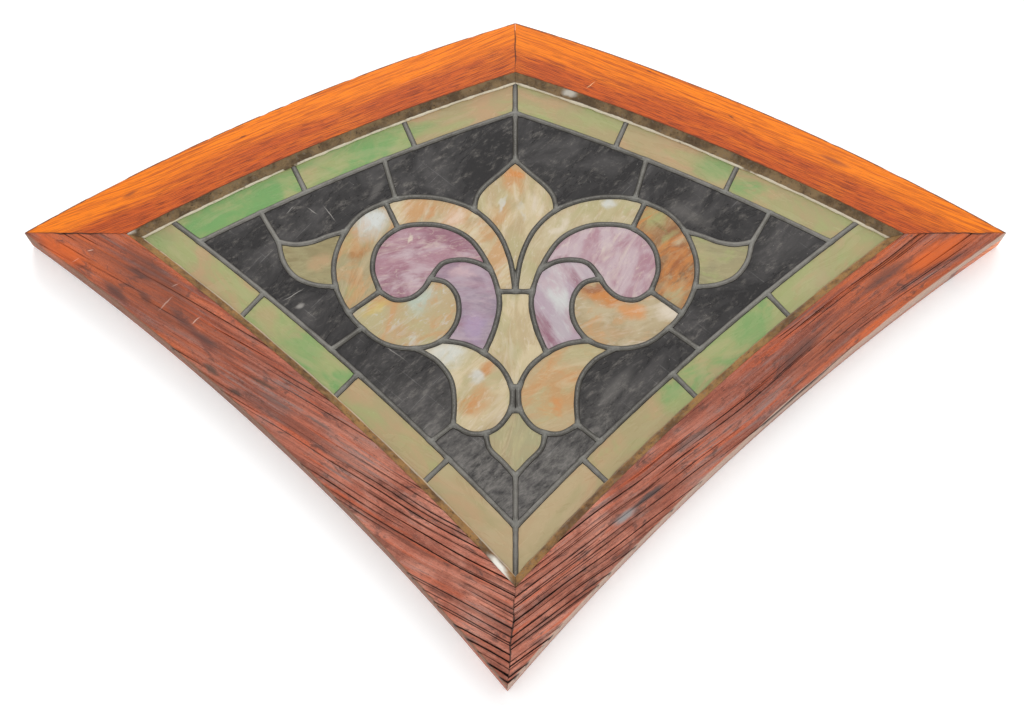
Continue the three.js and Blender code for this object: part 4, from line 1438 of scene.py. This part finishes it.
def putty_section(k, share):
    """The fillet's loop at each station: down at the toe, flat beneath, up the wall, and down the slope,
    whose height is toe height + rise * share^0.8 - sag + lumps."""
    along = share * PUTTY_LENGTH
    ones = np.ones_like(along)[:, None]
    width = REBATE_WIDTH - 0.12
    toe = 1.1 * (noise(along / 11, ones[:, 0] * k * 5, 31) - 0.45)[:, None]
    slope = PUTTY_SLOPE[::-1][None, :]
    lump = noise(along[:, None] / 6, slope * 2.5 + k * 9, 32) + 0.6 * noise(along[:, None] / 2.2, slope * 5, 33)
    sag = 1.1 * np.sin(np.pi * slope)
    lumps = 0.9 * (lump - 0.8) * np.sin(np.pi * np.clip(slope + 0.08, 0, 1))
    height = TOE_HEIGHT + SLOPE_RISE * slope**0.8 - sag + lumps
    across = slope * width - toe * (1 - slope)
    floor = [(0.1, PUTTY_FLOOR), (0.66, PUTTY_FLOOR), (0.72, ABOVE_CAME), (width, ABOVE_CAME)]
    xs = np.concatenate([ones * x for x, _ in floor] + [across], axis=1)
    depths = np.concatenate([ones * z for _, z in floor] + [np.minimum(height, PUTTY_TOP)], axis=1)
    xs[:, 0] = across[:, -1] + 0.15
    return np.stack([xs / REBATE_WIDTH, np.zeros_like(xs), depths], axis=-1)


def putty_mesh(k):
    """One fillet between its two mitres. How far out from the sight line each point lies is stored on it."""
    share = np.linspace(0.0004, 0.9996, PUTTY_STEPS)
    inside, outside = kite_edge((SIGHT, RADIUS), k, share), kite_edge(REBATE, k, share)
    points, faces = carried(inside, outside, putty_section(k, share))
    mesh = mesh_of("putty_strip_" + SIDE_NAMES[k], points, faces)
    welded(mesh, outward=True)
    p, depth = drawn_points(mesh)
    outwards = SWELL[k] * (np.abs(p - CENTRE[k]) - RADIUS[k])
    values_on(mesh, "outwards", outwards / REBATE_WIDTH)
    return mesh


putty_strips = [putty_mesh(k) for k in range(4)]
print("points of the fillets:", [len(mesh.vertices) for mesh in putty_strips])

# %% [markdown]
# Old putty takes up dirt, brown on the upper sides and ochre on the lower ones. Where the brush reached it
# there is a thin line of cream paint along the glass, broken in places, and white filler was dabbed on
# later, in blobs.


# %% Finish of the putty
def putty_finish(name, dark, light, painted):
    """Dirty putty in two tones, with a line of cream paint along the glass where the brush reached it."""
    m, shader = finish(name, Specular_IOR_Level=0.25)
    patch = cloud(m, place(m, (45, 45, 45)), detail=5, roughness=0.65)
    fine = cloud(m, place(m, (260, 260, 260)), detail=4, roughness=0.7)
    colour = mixed(m, ranged(m, patch, 0.38, 0.62), dark, light)
    colour = mixed(m, ranged(m, fine, 0.5, 0.7, 0.0, 0.7), colour, tone(112, 102, 90))
    colour = mixed(m, ranged(m, fine, 0.44, 0.3, 0.0, 0.85), colour, tone(54, 40, 30))
    outwards = stored(m, "outwards")
    toe = ranged(m, sums(m, "ADD", outwards, sums(m, "MULTIPLY", patch, 0.3)), 0.32, 0.24)
    broken = ranged(m, cloud(m, place(m, (50, 50, 50), shift=(3, 1, 2)), detail=4), 0.3, 0.4)
    paint = sums(m, "MULTIPLY", sums(m, "MULTIPLY", toe, broken), painted)
    colour = mixed(m, paint, colour, tone(218, 208, 186))
    white = tone(228, 224, 214)
    colour = blots(m, colour, [
        (-421, 65, 12, 6, 10, white, 0.9), (246, 140, 9, 5, -28, white, 0.8), (421, 67, 9, 6, -20, white, 0.8),
        (-237, 138, 10, 5, 25, white, 0.8), (-116, 191, 8, 4, 25, white, 0.8),
        (-16, -302, 23, 5.5, -52, white, 1), (60, 236, 12, 4, -20, white, 0.6),
        (-330, 96, 9, 5, 30, white, 0.6),
    ], wobble=9)  # fmt: skip
    rough = ranged(m, fine, 0.3, 0.7, 0.6, 0.9)
    return finished(m, shader, colour, rough, fine, relief=0.0012, strength=0.7)


brown, ochre = (tone(88, 70, 50), tone(132, 108, 76)), (tone(96, 68, 42), tone(150, 112, 66))
putty_finishes = [
    putty_finish("brown putty with paint", *brown, 0.95), putty_finish("brown putty", *brown, 0.9),
    putty_finish("ochre putty", *ochre, 0.1), putty_finish("ochre putty with paint", *ochre, 0.45),
]  # fmt: skip
for k, side in enumerate(SIDE_NAMES):
    piece(putty_strips[k], putty_finishes[k], "putty", "putty_" + side, sharp_above=50)

# %% [markdown]
# ## Glass
# Opalescent sheet is streaky, milky glass: seen from the front it looks nearly solid, with clouds drawn out
# in the direction of rolling. It could be made see-through, but with a white wall behind it that would only
# wash its colours out. One recipe makes them all: a ground, broad clouds, wisps and fine veins across them,
# and a surface that waves gently.


# %% Opalescent finish
FINE_CLOUDS = 15
BOLD_VEINS, FAINT_VEINS = 0.45, 0.15


def opalescent(name, ground, cloud_1, cloud_2, wisp, turn, size, marks=()):
    """Glass in a ground colour, with clouds of two more colours, thin wisps along an angle, fine veins that
    are stronger in the ornament than in the border, and blots. The clouds of each glass start elsewhere."""
    m, shader = finish(name, Specular_IOR_Level=0.45, Coat_Weight=0.15, Coat_Roughness=0.1)
    shift = float(np.random.default_rng(len(name) + turn % 97).uniform(0, 9))
    drawn_out = (size, size, size * 2)
    finer = (size * 3, size * 3, size * 8)
    broad = cloud(m, place(m, drawn_out, turn, (shift, shift, shift)), 1, 4, 0.58, 0.9)
    other = cloud(m, place(m, drawn_out, turn, (shift + 7, 3, shift)), 1, 5, 0.62, 1.1)
    thin = cloud(m, place(m, (size, size, size * 4), turn, (shift, 1, 5)), 1, 5, 0.62, 1.4)
    vein = cloud(m, place(m, finer, turn, (shift, 4, 2)), 1, 4, 0.68, 1.3)
    colour = mixed(m, ranged(m, broad, 0.4, 0.66), ground, cloud_1)
    colour = blots(m, colour, marks, wobble=22)
    colour = mixed(m, ranged(m, other, 0.46, 0.66, 0.0, 0.8), colour, cloud_2)
    colour = mixed(m, ranged(m, thin, 0.5, 0.76, 0.0, 0.45), colour, wisp)
    strong = BOLD_VEINS if size > FINE_CLOUDS else FAINT_VEINS
    colour = mixed(m, ranged(m, vein, 0.54, 0.72, 0.0, strong), colour, cloud_1)
    colour = mixed(m, ranged(m, vein, 0.45, 0.3, 0.0, strong), colour, wisp)
    ripple = cloud(m, place(m, (55, 55, 55)), detail=2)
    rough = ranged(m, thin, 0.3, 0.7, 0.18, 0.34)
    return finished(m, shader, colour, rough, ripple, relief=0.0008, strength=0.35)


print("veins show by", BOLD_VEINS, "in the ornament and by", FAINT_VEINS, "in the border")

# %% [markdown]
# The ground of the panel is glass so dark that it looks black. What shows is its surface: haze, dust, a
# paler grey in the dust's pattern towards the foot, fine scratches both ways, bright specks, and a few
# marks with a place of their own.


# %% Black glass
def black_finish():
    """Black glass, with the haze, dust and fine scratches of years."""
    m, shader = finish("black glass", Specular_IOR_Level=0.4)
    haze = cloud(m, place(m, (13, 13, 26), 38), detail=6, roughness=0.7, distortion=0.7)
    dust = cloud(m, place(m, (70, 70, 170), 38), detail=6, roughness=0.78)
    line = cloud(m, place(m, (12, 12, 620), -40), detail=2)
    cross = cloud(m, place(m, (16, 16, 560), 48), detail=2)
    grain = cloud(m, place(m, (420, 420, 420)), detail=2)
    low = node(m, "SeparateXYZ", {0: node(m, "TexCoord", {}).outputs["Object"]}).outputs["Z"]
    colour = mixed(m, ranged(m, haze, 0.38, 0.72), tone(32, 30, 30), tone(66, 63, 62))
    colour = mixed(m, ranged(m, dust, 0.5, 0.74, 0.0, 0.65), colour, tone(116, 111, 105))
    # Paler grey towards the foot, in the pattern of the dust.
    paler_towards_foot = sums(m, "MULTIPLY", ranged(m, low, -0.36, -0.5), ranged(m, dust, 0.3, 0.62))
    colour = mixed(m, sums(m, "MULTIPLY", paler_towards_foot, 0.55), colour, tone(128, 124, 119))
    scratch = sums(m, "MAXIMUM", ranged(m, line, 0.68, 0.73), ranged(m, cross, 0.7, 0.74))
    scratch = sums(m, "MULTIPLY", scratch, ranged(m, haze, 0.42, 0.6))
    colour = mixed(m, sums(m, "MULTIPLY", scratch, 0.28), colour, tone(150, 148, 146))
    colour = mixed(m, ranged(m, grain, 0.72, 0.78, 0.0, 0.6), colour, tone(176, 172, 166))
    mark = tone(168, 164, 158)
    colour = blots(m, colour, [
        (-203, 92, 15, 0.7, -55, mark, 0.6), (-238, -4, 17, 0.7, 33, mark, 0.7),
        (-230, -17, 7, 4, 20, mark, 0.55), (-246, 96, 9, 0.7, 50, mark, 0.5),
        (-222, 95, 9, 0.7, -35, mark, 0.5), (-190, 60, 11, 0.6, 50, mark, 0.4),
        # The soft pale streak at (190, 90) is a painted highlight.
        (-152, 120, 22, 6, 60, tone(110, 106, 102), 0.4), (190, 90, 40, 12, -35, tone(100, 96, 92), 0.4),
        (104, -110, 40, 10, 48, tone(120, 116, 112), 0.35), (-140, -60, 40, 1.0, -38, mark, 0.5),
    ], wobble=4)  # fmt: skip
    rough = ranged(m, haze, 0.35, 0.7, 0.24, 0.5)
    return finished(m, shader, colour, rough, cloud(m, place(m, (40, 40, 40))), relief=0.0008, strength=0.3)


black = black_finish()
print("nodes in the black glass:", len(black.node_tree.nodes))

# %% [markdown]
# Opalescent sheet comes in mixtures of a few colours, and this panel uses three families: olive and moss for
# the border, cream and amber for the scrolls, and mauve. Naming them once keeps the rows below short.

# %% Palette
OLIVE, MOSS, PEACH = tone(150, 154, 102), tone(106, 148, 86), tone(172, 142, 106)
KHAKI, FOG, TAN = tone(158, 144, 104), tone(192, 194, 190), tone(182, 138, 92)
CREAM, SAND, STRAW = tone(192, 176, 142), tone(172, 152, 116), tone(168, 158, 118)
AMBER, RUST, MILK = tone(184, 118, 58), tone(140, 80, 40), tone(204, 192, 174)
MAUVE, WINE, LILAC = tone(157, 118, 128), tone(132, 84, 99), tone(180, 160, 164)
print("moss gives off", [round(part, 3) for part in MOSS[:3]])

# %% [markdown]
# Every glass was cut from another part of a sheet, so each has its own row here: ground, two clouds, wisps,
# the angle of rolling, the size of the clouds (larger numbers make smaller clouds), and its blots.

# %% Rows of the border
BORDER_ROWS = {
    "border_upper_1_left": (MOSS, OLIVE, MOSS, STRAW, 26, 13, [(-381, 78, 30, 16, 20, OLIVE, 0.9)]),
    "border_upper_2_left": (OLIVE, MOSS, OLIVE, STRAW, 24, 13, [(-230, 135, 26, 18, 20, PEACH, 0.9)]),
    "border_upper_3_left": (KHAKI, PEACH, OLIVE, STRAW, 20, 12, [(-110, 195, 40, 14, 20, MOSS, 0.6)]),
    "border_upper_3_right": (KHAKI, OLIVE, PEACH, STRAW, -20, 12, [(90, 205, 30, 14, -20, OLIVE, 0.7)]),
    "border_upper_2_right": (PEACH, KHAKI, OLIVE, STRAW, -22, 12, [(222, 148, 36, 26, -20, MOSS, 0.8)]),
    "border_upper_1_right": (KHAKI, OLIVE, PEACH, STRAW, -30, 12, [(250, 132, 38, 30, -30, MOSS, 0.8)]),
    "border_lower_1_left": (OLIVE, KHAKI, PEACH, STRAW, -38, 12, [(-385, 60, 20, 20, 0, MOSS, 0.4)]),
    "border_lower_2_left": (OLIVE, MOSS, KHAKI, STRAW, -38, 12, [
        (-222, -62, 34, 24, -38, MOSS, 0.6), (-265, -28, 16, 20, 0, PEACH, 0.5),
    ]),
    "border_lower_3_left": (KHAKI, OLIVE, PEACH, STRAW, -42, 11, [
        (-105, -165, 34, 26, 0, OLIVE, 0.7), (-160, -116, 24, 18, 0, PEACH, 0.6),
    ]),
    "border_lower_4_left": (SAND, KHAKI, PEACH, STRAW, -45, 11, []),
    "border_lower_1_right": (OLIVE, KHAKI, PEACH, STRAW, 38, 12, [
        (320, 10, 34, 20, 38, STRAW, 0.5), (372, 48, 24, 20, 30, PEACH, 0.4),
    ]),
    "border_lower_2_right": (OLIVE, KHAKI, MOSS, STRAW, 38, 12, [
        (250, -38, 34, 28, 38, MOSS, 0.7), (200, -85, 18, 18, 0, PEACH, 0.5),
    ]),
    "border_lower_3_right": (KHAKI, PEACH, OLIVE, STRAW, 42, 11, [(168, -114, 34, 28, 40, MOSS, 0.85)]),
    "border_lower_4_right": (PEACH, SAND, KHAKI, STRAW, 45, 11, []),
}  # fmt: skip
print("rows of the border:", len(BORDER_ROWS))

# %% [markdown]
# The ornament has the liveliest glass. The maker chose where each sheet was cut, so that a white cloud or an
# amber one falls in the right part of a scroll, and those clouds are the blots of these rows. One small
# blot on the left comma is a painted glint.

# %% Rows of the ornament
ORNAMENT_ROWS = {
    "bud": (SAND, STRAW, CREAM, MILK, 82, 20, [
        (0, 132, 32, 20, 90, TAN, 1.0), (-16, 88, 24, 18, 60, TAN, 0.8), (22, 100, 26, 13, 95, MILK, 0.7),
        (2, 139, 17, 5, -12, tone(190, 124, 62), 0.9), (0, 56, 22, 12, 90, STRAW, 0.7),
        (-13, 104, 19, 4, 80, FOG, 0.7), (9, 96, 17, 4, 100, FOG, 0.6), (24, 86, 10, 7, -30, AMBER, 0.5),
    ]),
    "stem": (CREAM, STRAW, SAND, MILK, 88, 20, [(0, -60, 20, 12, 90, STRAW, 0.5)]),
    "low_bud": (tone(154, 148, 112), tone(158, 142, 108), STRAW, CREAM, 80, 20, []),
    "scroll_top_left": (CREAM, SAND, TAN, MILK, 50, 20, [
        (-110, 96, 26, 16, 60, TAN, 0.9), (-66, 86, 26, 16, 50, tone(206, 178, 156), 0.9),
        (-90, 92, 18, 6, 60, AMBER, 0.6), (-40, 60, 26, 12, -50, CREAM, 0.7),
    ]),
    "scroll_top_right": (tone(182, 168, 136), STRAW, SAND, MILK, 60, 20, [
        (101, 104, 14, 8, 40, FOG, 0.8), (50, 80, 20, 8, 50, MILK, 0.7), (125, 96, 14, 10, 0, OLIVE, 0.5),
    ]),
    "scroll_side_left": (tone(156, 142, 108), tone(150, 142, 104), TAN, CREAM, 70, 18, [
        (-156, 84, 40, 26, 40, FOG, 1.0), (-170, 44, 17, 11, 60, tone(156, 106, 56), 0.9),
        (-171, 16, 15, 13, 0, tone(160, 122, 80), 0.9), (-182, 60, 16, 8, 80, OLIVE, 0.6),
        (-176, -2, 10, 12, 0, OLIVE, 0.6),
    ]),
    "scroll_side_right": (tone(152, 116, 76), tone(126, 84, 50), AMBER, SAND, 42, 22, [
        (177, 36, 34, 16, 80, RUST, 0.95), (151, 88, 24, 18, 30, OLIVE, 0.8), (171, -2, 22, 14, 60, STRAW, 0.8),
        (168, 62, 20, 7, 50, OLIVE, 0.6), (182, 62, 20, 5, 50, CREAM, 0.6),
        (176, 14, 22, 6, 60, tone(92, 70, 44), 0.7), (160, 74, 18, 4, -40, tone(120, 104, 60), 0.7),
    ]),
    "purple_comma_left": (MAUVE, LILAC, WINE, MILK, 8, 18, [
        # The small milk-white mark at (-114, 62) is a painted glint.
        (-78, 68, 40, 15, 0, WINE, 0.8), (-110, 20, 26, 12, 10, LILAC, 0.7), (-114, 62, 9, 3, 75, MILK, 1.0),
    ]),
    "purple_comma_right": (LILAC, MAUVE, LILAC, MILK, 62, 18, [
        (85, 63, 26, 7, 60, MAUVE, 0.8), (122, 36, 34, 16, 70, LILAC, 0.8), (52, 36, 20, 7, 10, WINE, 0.8),
    ]),
    "purple_crescent_left": (tone(138, 122, 134), tone(146, 114, 128), tone(164, 146, 156), LILAC, 4, 16, [
        (-52, 24, 26, 12, 10, tone(196, 166, 168), 0.8), (-44, -40, 24, 20, 90, tone(160, 140, 166), 0.7),
    ]),
    "purple_crescent_right": (tone(166, 146, 156), tone(170, 160, 164), LILAC, FOG, -55, 16, [
        (60, 18, 34, 10, -50, WINE, 0.9), (30, -46, 44, 15, -60, WINE, 0.85), (46, -8, 24, 14, -60, FOG, 0.9),
        (62, -36, 22, 8, -62, MAUVE, 0.7),
    ]),
    "amber_drop_left": (SAND, STRAW, TAN, FOG, 40, 20, [
        (-130, -8, 24, 12, 10, TAN, 0.9), (-100, -10, 26, 20, 60, tone(166, 174, 158), 1.0),
        (-150, -18, 24, 9, 38, tone(188, 164, 96), 0.8), (-118, -46, 20, 9, 0, PEACH, 0.7),
    ]),
    "amber_drop_right": (tone(160, 142, 108), tone(176, 160, 128), TAN, MILK, 15, 18, [
        (96, -6, 34, 14, -10, AMBER, 1.0), (122, -22, 22, 14, -20, tone(196, 132, 76), 0.9),
        (164, -22, 26, 18, 0, MILK, 0.9), (84, 2, 16, 7, 0, RUST, 0.8), (110, -46, 26, 10, 0, PEACH, 0.7),
    ]),
    "leaf_left": (tone(132, 120, 84), tone(148, 140, 102), tone(144, 132, 94), STRAW, 10, 18, [
        (-209, 34, 24, 14, 20, PEACH, 0.8),
    ]),
    "leaf_right": (tone(140, 132, 98), tone(148, 138, 102), OLIVE, STRAW, -10, 18, [
        (205, 40, 18, 14, 0, KHAKI, 0.8),
    ]),
    "lobe_left": (CREAM, SAND, STRAW, MILK, 50, 18, [
        (-74, -72, 34, 22, 0, tone(192, 192, 182), 1.0), (-30, -88, 16, 10, 60, AMBER, 0.7),
        (-45, -124, 30, 20, 30, TAN, 0.95), (-52, -127, 18, 12, 30, AMBER, 0.9),
        (-42, -98, 13, 12, 0, FOG, 0.7),
    ]),
    "lobe_right": (SAND, TAN, STRAW, CREAM, 20, 18, [
        (42, -118, 40, 30, 20, tone(176, 136, 90), 0.9), (38, -132, 18, 12, 20, tone(190, 128, 72), 0.7),
        (74, -70, 28, 18, 0, STRAW, 0.9),
    ]),
}  # fmt: skip
print("rows of the ornament:", len(ORNAMENT_ROWS))

# %% [markdown]
# The plates are solids of the frame that already have the right shape, so nothing stands for them. Only
# their material changes, to the finish of their own row, or to black glass for the ten of the ground.

# %% A finish for each glass
finish_of = {
    "glass_" + row: opalescent("glass, " + row.replace("_", " "), *values)
    for row, values in (BORDER_ROWS | ORNAMENT_ROWS).items()
}
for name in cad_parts:
    if name.startswith("glass_"):
        glass = bpy.data.objects[name]
        glass.data.materials.clear()
        glass.data.materials.append(finish_of.get(name, black))
print("glasses with a finish of their own:", len(finish_of))

# %% [markdown]
# ## Stage
# The window lies against a white wall, which has an opening behind it, a little smaller than the window, so
# that its back can be seen too. The wall is rings of quads round that opening, and reaches far enough that
# its end is never seen.

# %% Wall and floor
WALL_GAP = 0.001
WALL_OVERLAP = 3
WALL_RINGS = (1, 1.6, 5, 40)
WALL_CENTRE = 70j
FLOOR_HEIGHT, FLOOR_REACH = -1.5, 20


def stage_finish(name, colour, glow):
    """Plain matt paint for the stage, lit a little from within so that shade on it stays light."""
    material, shader = finish(name, Roughness=0.9, Specular_IOR_Level=0.1, Emission_Strength=glow)
    shader.inputs["Emission Color"].default_value = (1, 1, 1, 1)
    shader.inputs["Base Color"].default_value = colour
    return material


def wall_mesh():
    """Rings of quads: the outline of the opening, made larger from ring to ring about its centre."""
    widths = np.array([UPPER_FACE, LOWER_FACE])
    hole = kite(*(REBATE_WIDTH + widths - WALL_OVERLAP), lean=TIP_LEAN)
    share = np.linspace(0, 1, 20, endpoint=False)
    opening = np.concatenate([kite_edge(hole, k, share) for k in range(4)])
    rows = np.stack([(opening - WALL_CENTRE) * size + WALL_CENTRE for size in WALL_RINGS])
    points = stood_up(rows, np.full(rows.shape, -1000 * WALL_GAP))
    return mesh_of("wall", points, grid_faces(*rows.shape))


white = stage_finish("white wall", colour=(0.93, 0.93, 0.93, 1), glow=0.14)
wall = bpy.data.objects.new("wall", wall_mesh())
floor_corners = FLOOR_REACH * np.array([(-1, -1), (1, -1), (1, 1), (-1, 1)])
floor_corners = np.column_stack([floor_corners, np.full(4, FLOOR_HEIGHT)])
floor = bpy.data.objects.new("floor", mesh_of("floor", floor_corners, np.array([[0, 1, 2, 3]])))
for part in (wall, floor):
    part.data.materials.append(white)
    bpy.context.collection.objects.link(part)

print("the wall is", round(wall.dimensions[0]), "m wide")

# %% [markdown]
# Soft light comes from all round. A large lamp high on the left throws the shade under the lower edges, and
# a weaker one on the right fills it in. Both stand so high that the black glass doesn't mirror them into the
# camera.

# %% Light
SKY_STRENGTH = 0.82
LAMPS_AIM = (0, 0, -0.3)

world = bpy.data.worlds.new("studio")
world.use_nodes = True
world.node_tree.nodes["Background"].inputs["Color"].default_value = (1, 1, 1, 1)
world.node_tree.nodes["Background"].inputs["Strength"].default_value = SKY_STRENGTH
bpy.context.scene.world = world


def soft_lamp(name, place_at, size, power):
    """A square lamp that faces the middle of the window."""
    data = bpy.data.lights.new(name, "AREA")
    data.size, data.energy = size, power
    lamp = bpy.data.objects.new(name, data)
    lamp.location = place_at
    way = np.array(LAMPS_AIM) - np.array(place_at)
    lamp.rotation_euler = (math.atan2(math.hypot(way[0], way[1]), -way[2]), 0, math.atan2(-way[0], way[1]))
    bpy.context.collection.objects.link(lamp)


soft_lamp("key", (-0.7, -1.6, 2.2), size=1.4, power=32)
soft_lamp("fill", (1.3, -1.8, 1.9), size=1.6, power=16)
bpy.context.scene.view_settings.view_transform = "Standard"
print("lamps:", [light.name for light in bpy.data.lights])
